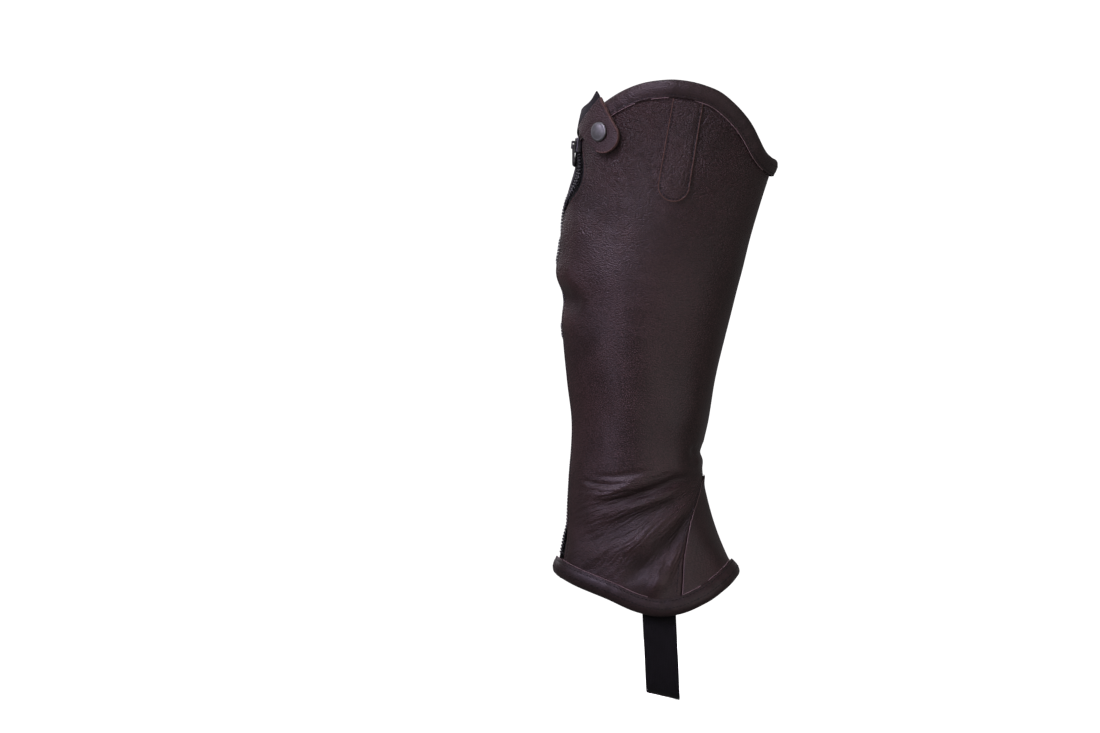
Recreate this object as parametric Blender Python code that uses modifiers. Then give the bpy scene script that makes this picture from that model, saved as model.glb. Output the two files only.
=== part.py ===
"""A leather half chap for the right leg, in the hollow form it has when it is worn.

+X is the shin and toe side, -Y the outer side of the leg, +Z up. The origin is in the middle
of the calf. Lengths below are millimetres and angles are degrees, until a mesh is made.

Every piece lies on one leg form. A place on it is an angle round the leg (0 at the back,
90 at the outer side, 180 at the shin, 270 at the inner side), a height, and a distance out
from the leather's outer face.
"""
import math
from collections import namedtuple

import bmesh
import bpy
import numpy as np
from mathutils import Matrix, Vector

MM = 0.001
NAME = "leather_half_chap"

# Cloth and gaps
LEATHER = 1.8
TRIM = 1.2
ELASTIC = 1.2
TAPE = 1.0
STRAP = 1.6
TAB_LEATHER = 2.4
SEAM_GAP = 0.3
LAID_ON = 0.45
ELASTIC_UNDER = 0.7
TAPE_UNDER = 1.5
CHAIN_OUT = 0.7
CHAIN_DEPTH = 2.6
TOP_FOLD = 1.0
TOP_FOLD_OUT = 0.9
STRIP_OUT = 0.35
STRIP_CROWN = 0.4

# Widths and lengths
ZIP_OPENING = 8.0
CHAIN_HALF = 3.0
TAPE_WIDTH = 12.5
ELASTIC_WIDTH = 59.0
SEAM_STRIP = 9.0
BAND = 10.8
HEM_BAND = 11.0
TOP_HEM = 20.0
TAB_LENGTH = 40.8
TAB_ROOT = 32.0
TAB_TIP = 12.3
SNAP_FROM_ROOT = 22.2
PATCH_WIDTH = 24.6
PATCH_TAPER = 0.6
STIRRUP_WIDTH = 25.7
NOTCH_SHARE = 0.24
WEDGE_CLEARANCE = 0.45
WEDGE_POINT_PROUD = 1.6
BAND_FOLD = 2.6
HEM_TO_STRIP = 1.6
HEM_TO_ZIP = 1.2

# The leg form: where the back and the shin are, half the width, and how far forward of the
# back the widest place lies, as a share of the depth.
Section = namedtuple("Section", "height back shin half_width widest")
SECTIONS = [
    Section(-312, -82.5, 84.0, 48.0, 0.50),
    Section(-281, -80.3, 66.3, 46.5, 0.50),
    Section(-265, -78.0, 56.4, 45.5, 0.50),
    Section(-254, -75.5, 51.0, 44.7, 0.50),
    Section(-242, -73.0, 45.8, 44.0, 0.50),
    Section(-218, -71.4, 38.4, 43.0, 0.50),
    Section(-195, -70.0, 34.8, 42.5, 0.50),
    Section(-179, -68.6, 35.2, 42.5, 0.50),
    Section(-156, -67.8, 39.8, 43.5, 0.50),
    Section(-125, -71.4, 44.8, 45.5, 0.49),
    Section(-94, -74.4, 51.5, 48.0, 0.48),
    Section(-62, -75.4, 59.8, 50.0, 0.47),
    Section(-39, -78.2, 66.0, 51.0, 0.46),
    Section(-16, -76.8, 71.6, 52.0, 0.46),
    Section(16, -72.4, 81.0, 54.0, 0.46),
    Section(43, -64.9, 89.0, 55.5, 0.46),
    Section(70, -61.2, 95.0, 57.0, 0.46),
    Section(112, -51.6, 100.2, 60.0, 0.46),
]

# Edges of the leather, as heights round the leg
Edge = namedtuple("Edge", "angle height")
TOP_EDGE = [
    Edge(0, 62.0), Edge(15, 72.0), Edge(22, 76.8), Edge(30, 83.2), Edge(38, 90.3),
    Edge(50, 98.6), Edge(64, 105.2), Edge(77, 107.9), Edge(87, 108.3), Edge(95, 107.0),
    Edge(104, 103.8), Edge(113, 98.8), Edge(120, 92.4), Edge(127, 85.0), Edge(135, 75.6),
    Edge(141, 67.6), Edge(147, 60.0), Edge(155, 53.2), Edge(163, 49.8), Edge(180, 47.8),
    Edge(210, 49.2), Edge(240, 54.5), Edge(270, 65.5), Edge(290, 74.0), Edge(304, 80.0),
    Edge(360, 84.0),
]
HEM_EDGE = [
    Edge(-20, -281.0), Edge(0, -275.5), Edge(6, -276.0), Edge(42, -286.3), Edge(63, -295.4),
    Edge(80, -305.6), Edge(91, -308.9), Edge(102, -307.0), Edge(120, -298.7),
    Edge(140, -287.8), Edge(165, -278.2), Edge(180, -276.4), Edge(195, -278.2),
    Edge(220, -286.5), Edge(240, -295.5), Edge(258, -303.0), Edge(268, -304.5),
    Edge(280, -302.0), Edge(303, -291.5), Edge(330, -281.5), Edge(352, -276.8),
    Edge(365, -275.8), Edge(380, -279.0),
]
ELASTIC_TOP = [
    Edge(296, 53.5), Edge(306, 53.7), Edge(322, 56.2), Edge(338, 59.6), Edge(350, 61.2),
    Edge(372, 61.4),
]

# The zip wanders near its top and its foot: how far the chain lies from the middle of the
# back, towards the outer side.
ZipRow = namedtuple("ZipRow", "height around")
ZIP_LINE = [
    ZipRow(-285, 6.0), ZipRow(-271, 7.0), ZipRow(-262, 8.5), ZipRow(-250, 7.0),
    ZipRow(-238, 4.0), ZipRow(-224, 2.2), ZipRow(-120, 1.5), ZipRow(-15, 2.5),
    ZipRow(2, 4.0), ZipRow(12, 7.5), ZipRow(18, 12.5), ZipRow(24, 18.0), ZipRow(30, 21.0),
    ZipRow(36, 20.5), ZipRow(44, 16.5), ZipRow(52, 11.5), ZipRow(60, 8.5), ZipRow(84, 8.0),
]

# Half the angle of the leather wedge over the instep, from its point down to the hem
WedgeRow = namedtuple("WedgeRow", "share half_angle")
WEDGE = [
    WedgeRow(0.0, 0.0), WedgeRow(0.1, 15.0), WedgeRow(0.28, 37.0), WedgeRow(0.47, 53.0),
    WedgeRow(0.7, 65.8), WedgeRow(1.0, 78.0),
]

# Cross-sections of the folded bands: distance over the leather's edge and out from its face
BandRow = namedtuple("BandRow", "over out")
TOP_BAND = [
    BandRow(-BAND, 1.9), BandRow(-7.5, 2.1), BandRow(-3.8, 2.5), BandRow(-0.4, 2.2),
    BandRow(2.2, 1.0), BandRow(BAND_FOLD, -1.6), BandRow(0.3, -3.7), BandRow(-7.0, -3.9),
]
HEM_ROLL = [
    BandRow(7.5, -3.9), BandRow(1.0, -3.8), BandRow(-1.8, -2.9), BandRow(-BAND_FOLD, 0.2),
    BandRow(-0.4, 2.3), BandRow(3.4, 2.6), BandRow(7.4, 2.3), BandRow(HEM_BAND, 1.95),
]

# Where the top band stands out more, at the shin, and less, beside the zip
Flare = namedtuple("Flare", "angle width out")
TOP_FLARES = [Flare(174, 9, 1.8), Flare(17, 22, -0.5)]

# Soft creases (depth under 0) and ridges, each along a line on the leg
Fold = namedtuple("Fold", "from_angle from_height to_angle to_height width depth")
FOLDS = [
    # outer side, fanning out from the point of the wedge
    Fold(47, -228, 92, -217, 6.0, -2.4),
    Fold(92, -217, 150, -205, 6.0, -2.2),
    Fold(32, -214, 84, -208, 7.0, 1.5),
    Fold(44, -236, 84, -226, 6.0, 1.5),
    Fold(58, -246, 104, -233, 5.5, -1.5),
    Fold(104, -233, 142, -214, 5.0, -1.4),
    Fold(72, -259, 110, -243, 6.0, 1.7),
    Fold(110, -243, 136, -224, 5.5, 1.4),
    Fold(74, -274, 118, -250, 6.0, -1.9),
    Fold(94, -282, 108, -262, 6.5, 1.6),
    # shin, just above the wedge
    Fold(150, -180, 208, -181, 4.0, -1.7),
    Fold(160, -188, 200, -188, 4.0, 0.8),
    # outer calf, beside the zip
    Fold(8, -60, 34, -64, 8.5, -2.5),
    Fold(4, -77, 26, -82, 9.0, 0.9),
    Fold(8, -40, 32, -42, 14.0, 1.8),
    Fold(40, 16, 58, 0, 12.0, -1.5),
    Fold(20, -5, 34, -10, 12.0, 1.2),
    # inner side
    Fold(206, -196, 274, -188, 9.0, -2.6),
    Fold(216, -213, 272, -209, 11.0, 1.7),
    Fold(222, -226, 262, -250, 8.0, -1.3),
    Fold(238, -252, 262, -272, 8.0, 1.2),
    Fold(246, -126, 276, -119, 12.0, -1.3),
    Fold(228, -150, 272, -154, 14.0, 1.0),
]

# The black strap over the zip's top end: its lower and upper edges, on the way to the tab,
# and how far its middle bulges ahead of the line between them
StrapRow = namedtuple("StrapRow", "share low_angle low_height high_angle high_height bulge")
TOP_STRAP = [
    StrapRow(0.0, 311.0, 54.6, 311.0, 79.7, 0.0), StrapRow(0.22, 322.0, 56.8, 322.0, 80.8, 0.0),
    StrapRow(0.45, 338.0, 60.4, 340.0, 82.4, 0.0), StrapRow(0.65, 350.0, 65.2, 354.0, 84.4, 0.0),
    StrapRow(0.80, 361.0, 70.4, 368.0, 87.0, 0.0), StrapRow(0.91, 370.0, 75.6, 382.0, 92.0, 3.0),
    StrapRow(1.0, 381.6, 81.2, 387.6, 99.8, 10.0),
]
STRAP_LIFT = (1.5, 2.0)
TAB_ROOT_MIDDLE = Edge(27.4, 82.8)
TAB_HEADING = -42.7
TAB_OUT = 5.4
SNAP_PROFILE = [(7.6, 0.3), (7.3, 1.0), (6.2, 1.6), (3.6, 2.0), (0.0, 2.1)]

# The tongue-shaped patch, seen from the outer side
PATCH_TOP = (22.9, 91.6)
PATCH_FOOT = (9.7, 13.9)

# The strap under the foot: half its path across the leg, from the hem to the middle
StirrupRow = namedtuple("StirrupRow", "half_width height forward")
STIRRUP = [
    StirrupRow(41.6, -291.0, 0.4), StirrupRow(41.7, -310.0, 1.0), StirrupRow(42.7, -330.0, 2.0),
    StirrupRow(42.6, -350.0, 3.0), StirrupRow(41.6, -361.0, 3.4), StirrupRow(39.6, -366.6, 3.6),
    StirrupRow(36.0, -369.6, 3.7), StirrupRow(30.0, -370.6, 3.7), StirrupRow(15.0, -370.8, 3.7),
    StirrupRow(0.0, -370.9, 3.7),
]
STIRRUP_SLOPE = math.tan(math.radians(-13.0))

# The zip's top end, the slider and its pull
TAPE_TOP = 62.0
GUARD_HEIGHTS = (64.5, 75.5)
GUARD_INNER = 6.5
GUARD_UNDER = 0.7
GUARD_CROWN = 0.9
SLIDER_HEIGHT = 58.0
SLIDER_SIZE = (9.4, 12.0, 4.4)
SLIDER_OUT = 0.4
SLIDER_EDGE = 0.9
BRIDGE_SIZE = (2.2, 6.4, 3.8)
PIVOT_OUT = 4.2
BRIDGE_SLOT = 1.2
BRIDGE_SUNK = 0.5
PULL_THICKNESS = 1.0
PULL_LENGTH = 16.5
PULL_WIDTH = 5.6


# ---- the leg form ----

def column(rows, name):
    return np.array([getattr(row, name) for row in rows], dtype=float)


def smooth(rows, name, at):
    """A table's column, read between its rows on a smooth curve over the first column."""
    places = column(rows, rows[0]._fields[0])
    values = column(rows, name)
    steps = np.diff(places)
    slopes = np.diff(values) / steps
    tangents = np.concatenate([
        slopes[:1],
        (slopes[:-1] * steps[1:] + slopes[1:] * steps[:-1]) / (steps[:-1] + steps[1:]),
        slopes[-1:]])
    at = np.clip(at, places[0], places[-1])
    row = np.clip(np.searchsorted(places, at) - 1, 0, len(steps) - 1)
    t = (at - places[row]) / steps[row]
    return ((2 * t ** 3 - 3 * t ** 2 + 1) * values[row]
            + (t ** 3 - 2 * t ** 2 + t) * steps[row] * tangents[row]
            + (3 * t ** 2 - 2 * t ** 3) * values[row + 1]
            + (t ** 3 - t ** 2) * steps[row] * tangents[row + 1])


def section(height):
    """Back, middle, shin and half width of the leg at a height."""
    back = smooth(SECTIONS, "back", height)
    shin = smooth(SECTIONS, "shin", height)
    middle = back + smooth(SECTIONS, "widest", height) * (shin - back)
    return back, middle, shin, smooth(SECTIONS, "half_width", height)


def form(angle, height):
    """A point of the bare form: a quarter ellipse behind the widest place, another before."""
    back, middle, shin, half_width = section(height)
    turn = np.radians(angle)
    reach = np.where(np.cos(turn) > 0, middle - back, shin - middle)
    return np.stack([middle - reach * np.cos(turn), -half_width * np.sin(turn), height], axis=-1)


def unit(vectors):
    return vectors / np.linalg.norm(vectors, axis=-1, keepdims=True)


def outward(angle, height):
    """The form's outward direction."""
    around = form(angle + 0.5, height) - form(angle - 0.5, height)
    upward = form(angle, height + 1.0) - form(angle, height - 1.0)
    return unit(np.cross(around, upward))


def fold_depth(angle, height):
    """How far the creases and ridges move the leather out at a place."""
    back, middle, shin, half_width = section(height)
    per_degree = math.pi / 360 * (half_width + (shin - back) / 2)
    total = np.zeros_like(height)
    for fold in FOLDS:
        across = ((angle - fold.from_angle + 180) % 360 - 180) * per_degree
        up = height - fold.from_height
        run = np.stack([(fold.to_angle - fold.from_angle) * per_degree,
                        np.full_like(height, fold.to_height - fold.from_height)])
        share = np.clip((across * run[0] + up * run[1]) / (run ** 2).sum(axis=0), 0, 1)
        away = np.hypot(across - share * run[0], up - share * run[1])
        total = total + fold.depth * np.exp(-(away / fold.width) ** 2)
    return total


def skin(angle, height, out=0.0):
    """Points on the leather's outer face, or a distance out from it."""
    angle, height = np.broadcast_arrays(np.asarray(angle, float), np.asarray(height, float))
    move = np.asarray(out + fold_depth(angle, height))
    return form(angle, height) + outward(angle, height) * move[..., None]


def place_of(points):
    """The angle and height of points near the form."""
    height = points[..., 2]
    back, middle, shin, half_width = section(height)
    reach = np.where(points[..., 0] < middle, middle - back, shin - middle)
    turn = np.arctan2(-points[..., 1] / half_width, (middle - points[..., 0]) / reach)
    return np.degrees(turn) % 360, height


def angle_around(distance, height):
    """The angle that lies a distance round the leg from the middle of the back."""
    turns = np.linspace(0, 180, 181)
    found = []
    for far, level in zip(*np.broadcast_arrays(distance, height)):
        ring = form(turns, np.full_like(turns, level))
        gone = np.concatenate([[0], np.cumsum(np.linalg.norm(np.diff(ring, axis=0), axis=1))])
        found.append(math.copysign(np.interp(abs(far), gone, turns), far))
    return np.array(found)


def between(first, last, share):
    return first + (last - first) * share


def alongside(path, share, left):
    """Places a share of the way along a path, stepped to its left as seen from outside."""
    points = form(path[:, 0], path[:, 1])
    gone = np.concatenate([[0], np.cumsum(np.linalg.norm(np.diff(points, axis=0), axis=1))])
    heading = unit(np.gradient(points, gone, axis=0))
    sideways = np.cross(outward(path[:, 0], path[:, 1]), heading)
    at = share * gone[-1]
    spots = [np.interp(at, gone, points[:, axis]) + left * np.interp(at, gone, sideways[:, axis])
             for axis in range(3)]
    return place_of(np.stack(spots, axis=-1))


# ---- lines that several pieces share ----

def zip_path():
    heights = np.linspace(ZIP_LINE[0].height, ZIP_LINE[-1].height, 150)
    around = smooth(ZIP_LINE, "around", heights)
    return np.stack([angle_around(around, heights), heights], axis=-1)


def zip_side(left, height):
    """Angle of a line beside the zip at a height; left is towards the inner side."""
    path = zip_path()
    angles, heights = alongside(path, np.linspace(0, 1, len(path)), left)
    return np.interp(height, heights, (angles + 90) % 360 - 90)


def inner_seam(height, distance=ELASTIC_WIDTH):
    """Angle of the seam between the elastic and the leather's inner edge."""
    return 360 - angle_around(np.full_like(height, distance), height)


def hem(angle):
    """The leather's lower edge, inside the hem band's fold."""
    return smooth(HEM_EDGE, "height", angle) + BAND_FOLD


def edge_path(first, last, rows, count=220):
    angles = np.linspace(first, last, count)
    return np.stack([angles, rows(angles)], axis=-1)


def top(angle):
    """The leather's upper edge, inside the top band's fold."""
    return smooth(TOP_EDGE, "height", angle) - BAND_FOLD


def settle(share, left_edge, right_edge, low, high, across):
    """Angle and height of a panel's points whose edges are lines on the leg."""
    height = np.full_like(share, -100.0)
    for _ in range(6):
        left = left_edge(height)
        angle = between(left, right_edge(height), across)
        height = between(low(angle), high(angle), share)
    return angle, height


def notch_levels():
    """Rows of the leather up to the notch's point, shared by the wedge that fills it."""
    return NOTCH_SHARE * np.append(np.linspace(0, 12 / 13, 13), [0.97, 1.0])


def wedge_angle(share):
    """Half the wedge's angle at a share of the leather's height."""
    return smooth(WEDGE, "half_angle", np.clip(1 - share / NOTCH_SHARE, 0, 1))


# ---- meshes ----

def collection():
    group = bpy.data.collections.new(NAME)
    bpy.context.scene.collection.children.link(group)
    return group


def material(name, color, roughness, metallic=0.0):
    made = bpy.data.materials.new(name)
    made.use_nodes = True
    shader = made.node_tree.nodes["Principled BSDF"]
    shader.inputs["Base Color"].default_value = (*color, 1.0)
    shader.inputs["Roughness"].default_value = roughness
    shader.inputs["Metallic"].default_value = metallic
    return made


def add_patch(target, columns, rows, where, levels=None):
    """Adds an open grid; where(u, v) gives its points. levels are the rows' v values."""
    points = bmesh.ops.create_grid(target, x_segments=columns, y_segments=rows, size=0.5)["verts"]
    u = np.array([point.co.x + 0.5 for point in points])
    v = np.array([point.co.y + 0.5 for point in points])
    if levels is not None:
        v = np.interp(v * rows, np.arange(rows + 1), levels)
    for point, spot in zip(points, where(u, v)):
        point.co = Vector(spot) * MM


def to_object(group, name, mesh_data, look):
    mesh = bpy.data.meshes.new(name)
    mesh_data.to_mesh(mesh)
    mesh_data.free()
    mesh.materials.append(look)
    mesh.shade_smooth()
    made = bpy.data.objects.new(name, mesh)
    group.objects.link(made)
    return made


def wall(made, thickness):
    """Thickens an open sheet inwards from its outer face."""
    shell = made.modifiers.new("wall", "SOLIDIFY")
    shell.thickness = thickness * MM
    shell.offset = -1.0
    return made


def cloth(group, name, look, thickness, columns, rows, where, levels=None):
    data = bmesh.new()
    add_patch(data, columns, rows, where, levels)
    return wall(to_object(group, name, data, look), thickness)


# ---- the leather ----

def leather_panel(group, look):
    """One cut from the zip round the shin to the elastic, with a notch over the instep."""
    levels = np.append(notch_levels(), np.linspace(NOTCH_SHARE, 1, 21)[1:])

    def outer_half(u, v):
        return skin(*settle(v, lambda height: zip_side(-ZIP_OPENING, height),
                            lambda height: 180 - wedge_angle(v), hem, top, u))

    def inner_half(u, v):
        return skin(*settle(v, lambda height: 180 + wedge_angle(v), inner_seam, hem, top, u))

    data = bmesh.new()
    for columns, where in ((31, outer_half), (22, inner_half)):
        add_patch(data, columns, len(levels) - 1, where, levels)
    bmesh.ops.remove_doubles(data, verts=data.verts, dist=0.01 * MM)
    return wall(to_object(group, "leather_panel", data, look), LEATHER)


def ankle_gusset(group, look):
    """The wedge over the instep. Its point stands a little proud of the seam."""
    levels = notch_levels()[:-1]

    def where(u, v):
        near_point = np.exp(-((levels[-1] - v) / 0.015) ** 2)
        half = wedge_angle(v) - WEDGE_CLEARANCE * (1 + near_point)
        angle = 180 + (2 * u - 1) * half
        height = between(hem(angle), top(angle), v)
        return skin(angle, height, WEDGE_POINT_PROUD * near_point)

    return cloth(group, "ankle_gusset", look, LEATHER, 20, len(levels) - 1, where, levels)


def tongue_patch(group, look):
    """A tongue of leather laid on the outer side, round at its foot."""
    first, last = np.array(PATCH_TOP), np.array(PATCH_FOOT)
    length = np.linalg.norm(last - first)
    heading = (last - first) / length
    right = np.array([-heading[1], heading[0]])
    half = PATCH_WIDTH / 2

    def where(u, v):
        gone = length * v
        past = np.clip((gone - (length - half)) / half, 0, 0.985)
        reach = half * np.sqrt(1 - past ** 2) - PATCH_TAPER * (1 - v)
        spot = first + gone[:, None] * heading + ((1 - 2 * u) * reach)[:, None] * right
        height = spot[:, 1]
        back, middle, shin, half_width = section(height)
        ahead = np.where(spot[:, 0] < middle, middle - back, shin - middle)
        angle = np.degrees(np.arccos((middle - spot[:, 0]) / ahead))
        return skin(angle, height, LAID_ON + TRIM)

    levels = 1 - (1 - np.linspace(0, 1, 15)) ** 1.6
    return cloth(group, "tongue_patch", look, TRIM, 6, 14, where, levels)


def band(group, name, look, path, profile, flares=()):
    """A folded band along an edge, blended so that its ends are cut straight up."""
    over, out = np.array(profile).T

    def where(u, v):
        row = v * (len(profile) - 1)
        rise = np.interp(row, np.arange(len(profile)), over)
        reach = np.interp(row, np.arange(len(profile)), out)
        angle, height = alongside(path, u, rise)
        ends = np.exp(-(u / 0.03) ** 2) + np.exp(-((1 - u) / 0.03) ** 2)
        straight = np.interp(u, np.linspace(0, 1, len(path)), path[:, 0])
        angle = between(angle, angle + (straight - angle + 180) % 360 - 180, ends)
        for flare in flares:
            near = np.exp(-((angle - flare.angle) / flare.width) ** 2)
            reach = reach + flare.out * near * np.clip(reach, 0, 2) / 2
        return skin(angle, height, reach)

    return cloth(group, name, look, TRIM, 52, len(profile) - 1, where)


def top_binding(group, look):
    height = np.array([72.0, 80.0])
    start = zip_side(-ZIP_OPENING, height)[0]
    stop = inner_seam(height, ELASTIC_WIDTH + SEAM_STRIP / 2 + 4 * SEAM_GAP)[1]
    return band(group, "top_binding", look, edge_path(start, stop, top), TOP_BAND, TOP_FLARES)


def hem_binding(group, look):
    height = np.array([-277.0, -297.0])
    start = angle_around(np.array([1.0]), height[:1])[0]
    stop = inner_seam(height, ELASTIC_WIDTH - SEAM_STRIP / 2)[1]
    return band(group, "hem_binding", look, edge_path(start, stop, hem), HEM_ROLL)


# ---- elastic, seam strip and zip ----

def elastic_panel(group, look):
    def where(u, v):
        angle, height = settle(
            v, lambda level: inner_seam(level, ELASTIC_WIDTH - 2.5 * SEAM_GAP),
            lambda level: 360 + zip_side(ZIP_OPENING, level), hem,
            lambda angle: smooth(ELASTIC_TOP, "height", angle), u)
        return skin(angle, height, -ELASTIC_UNDER)

    return cloth(group, "elastic_panel", look, ELASTIC, 10, 26, where)


def elastic_top_hem(group, look):
    """The elastic's folded top edge."""
    def where(u, v):
        angle, height = settle(
            v, lambda level: inner_seam(level, ELASTIC_WIDTH - SEAM_STRIP / 2 - 2 * SEAM_GAP),
            lambda level: 360 + zip_side(ZIP_OPENING, level),
            lambda angle: smooth(ELASTIC_TOP, "height", angle) - TOP_HEM,
            lambda angle: smooth(ELASTIC_TOP, "height", angle), u)
        return skin(angle, height, TOP_FOLD_OUT)

    return cloth(group, "elastic_top_hem", look, TOP_FOLD, 10, 4, where)


def inner_seam_strip(group, look):
    """The leather's folded edge, over the elastic."""
    def where(u, v):
        half = SEAM_STRIP / 2
        angle, height = settle(
            v, lambda level: inner_seam(level, ELASTIC_WIDTH + half),
            lambda level: inner_seam(level, ELASTIC_WIDTH - half),
            lambda angle: hem(angle) + HEM_BAND + HEM_TO_STRIP, top, u)
        crown = STRIP_CROWN * np.sin(math.pi * u)
        return skin(angle, height, LAID_ON + TRIM + STRIP_OUT + crown)

    return cloth(group, "inner_seam_strip", look, TRIM, 3, 34, where)


def zip_run(low, high):
    """The part of the zip's line between two heights."""
    path = zip_path()
    return path[(path[:, 1] >= low) & (path[:, 1] <= high)]


def along_zip(group, name, look, low, high, sides, out, thickness, rows):
    """A strip that follows the zip between two distances to its left."""
    path = zip_run(low, high)

    def where(u, v):
        return skin(*alongside(path, v, between(sides[0], sides[1], u)), out)

    return cloth(group, name, look, thickness, 2, rows, where)


def zip_pieces(group, tape_look, chain_look):
    foot = hem(np.array([4.0]))[0] + HEM_BAND + HEM_TO_ZIP
    under = -LEATHER - TAPE_UNDER
    along_zip(group, "zip_tape_inner", tape_look, foot, TAPE_TOP, (TAPE_WIDTH, SEAM_GAP),
              under, TAPE, 30)
    along_zip(group, "zip_tape_outer", tape_look, foot, TAPE_TOP, (-SEAM_GAP, -TAPE_WIDTH),
              under, TAPE, 30)
    chain_top = SLIDER_HEIGHT - SLIDER_SIZE[1] / 2 - SEAM_GAP
    along_zip(group, "zip_chain", chain_look, foot, chain_top, (CHAIN_HALF, -CHAIN_HALF),
              CHAIN_OUT, CHAIN_DEPTH, 34)


def zip_guard(group, look):
    """The small leather end over the zip's top stop."""
    path = zip_run(*GUARD_HEIGHTS)

    def where(u, v):
        crown = GUARD_CROWN * np.sin(math.pi * u)
        sides = between(GUARD_INNER, SEAM_GAP - ZIP_OPENING, u)
        return skin(*alongside(path, v, sides), crown - GUARD_UNDER)

    return cloth(group, "zip_guard", look, TRIM, 6, 4, where)


def top_strap(group, look):
    """The black strap that crosses above the zip; it climbs towards the snap tab."""
    def where(u, v):
        angle = between(smooth(TOP_STRAP, "low_angle", u), smooth(TOP_STRAP, "high_angle", u), v)
        angle = angle + smooth(TOP_STRAP, "bulge", u) * np.sin(math.pi * v)
        height = between(smooth(TOP_STRAP, "low_height", u),
                         smooth(TOP_STRAP, "high_height", u), v)
        return skin(angle, height, between(*STRAP_LIFT, u))

    return cloth(group, "top_strap", look, ELASTIC, 16, 6, where)


# ---- the snap ----

def tab_spot(along, across):
    """A place on the leg from a distance down the snap tab and one across it."""
    start_angle, start_height = TAB_ROOT_MIDDLE
    start = skin(np.array([start_angle]), np.array([start_height]))[0]
    around = angle_around(np.array([0.0]), np.array([start_height]))[0]
    turn = math.radians(TAB_HEADING)
    ring = np.linspace(0, 75, 76)
    points = form(ring, np.full_like(ring, start_height))
    gone = np.concatenate([[around], np.cumsum(np.linalg.norm(np.diff(points, axis=0), axis=1))])
    first = np.interp(start_angle, ring, gone)
    sideways = first + along * math.cos(turn) - across * math.sin(turn)
    height = start[2] + along * math.sin(turn) + across * math.cos(turn)
    return angle_around(sideways, height), height


def snap_tab(group, look):
    """A leather tab with a straight root and a round tip."""

    def where(u, v):
        across = 2 * u - 1
        along = TAB_LENGTH * v
        body = TAB_LENGTH - TAB_TIP
        past = np.clip((along - body) / TAB_TIP, 0, 0.985)
        taper = between(TAB_ROOT / 2, TAB_TIP, np.clip(along / body, 0, 1) ** 1.3)
        reach = taper * np.sqrt(1 - past ** 2)
        angle, height = tab_spot(along, -across * reach)
        return skin(angle, height, TAB_OUT)

    levels = 1 - (1 - np.linspace(0, 1, 13)) ** 1.5
    return cloth(group, "snap_tab", look, TAB_LEATHER, 8, 12, where, levels)


def facing(angle, height, out):
    """A frame on the leg: x round it, y up it, z outwards."""
    place = np.array([angle]), np.array([height])
    away = Vector(outward(*place)[0])
    around = Vector((0, 0, 1)).cross(away).normalized()
    frame = Matrix((around, away.cross(around), away)).transposed().to_4x4()
    frame.translation = Vector(skin(*place, out)[0]) * MM
    return frame


def turned(group, name, look, profile, frame):
    """A round piece: a profile from its rim to its middle, spun by Screw."""
    data = bmesh.new()
    points = [data.verts.new((radius * MM, 0, height * MM)) for radius, height in profile]
    for first, last in zip(points, points[1:]):
        data.edges.new((first, last))
    made = to_object(group, name, data, look)
    made.matrix_world = frame
    spin = made.modifiers.new("spin", "SCREW")
    spin.steps = spin.render_steps = 24
    spin.use_merge_vertices = True
    spin.merge_threshold = 0.01 * MM
    return made


def snap_pieces(group, metal):
    angle, height = [value[0] for value in tab_spot(np.array([SNAP_FROM_ROOT]), np.array([0.0]))]
    dome = list(reversed(SNAP_PROFILE)) + [(7.3, 0.0), (0.0, 0.0)]
    turned(group, "snap_cap", metal, dome, facing(angle, height, TAB_OUT + SEAM_GAP))
    socket = [(0.0, 1.2), (4.6, 1.2), (4.8, 0.9), (4.8, 0.0), (0.0, 0.0)]
    turned(group, "snap_socket", metal, socket, facing(angle, height, SEAM_GAP))


# ---- the slider and its pull ----

def slider_frame():
    angle = zip_side(0.0, np.array([SLIDER_HEIGHT]))[0]
    return facing(angle, SLIDER_HEIGHT, 0.0)


def block(group, name, look, size, offset, frame, bevel=0.0):
    data = bmesh.new()
    bmesh.ops.create_cube(data, size=1.0)
    for point in data.verts:
        point.co = Vector([(point.co[axis] * size[axis] + offset[axis]) * MM for axis in range(3)])
    made = to_object(group, name, data, look)
    made.matrix_world = frame
    if bevel:
        edge = made.modifiers.new("edge", "BEVEL")
        edge.width = bevel * MM
        edge.segments = 2
    return made


def cutting(piece, tool, operation):
    cut = piece.modifiers.new(operation.lower(), "BOOLEAN")
    cut.operation = operation
    cut.object = tool
    tool.hide_render = True
    tool.display_type = "WIRE"


def zip_slider(group, tools, look):
    """The slider's body, with a bridge that the pull's bar runs under."""
    frame = slider_frame()
    body = block(group, "zip_slider", look, SLIDER_SIZE,
                 (0, 0, SLIDER_OUT), frame, SLIDER_EDGE)
    bridge_out = SLIDER_OUT + (SLIDER_SIZE[2] + BRIDGE_SIZE[2]) / 2 - BRIDGE_SUNK
    bridge = block(tools, "slider_bridge", look, BRIDGE_SIZE, (0, 0, bridge_out), frame,
                   BRIDGE_SUNK)
    data = bmesh.new()
    bmesh.ops.create_cone(data, cap_ends=True, segments=16, radius1=BRIDGE_SLOT * MM,
                          radius2=BRIDGE_SLOT * MM, depth=6 * MM)
    bmesh.ops.transform(data, matrix=Matrix.Rotation(math.pi / 2, 4, "Y"), verts=data.verts)
    bmesh.ops.translate(data, vec=(0, 0, PIVOT_OUT * MM), verts=data.verts)
    slot = to_object(tools, "slider_slot", data, look)
    slot.matrix_world = frame
    cutting(body, bridge, "UNION")
    cutting(body, slot, "DIFFERENCE")
    return body


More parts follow.
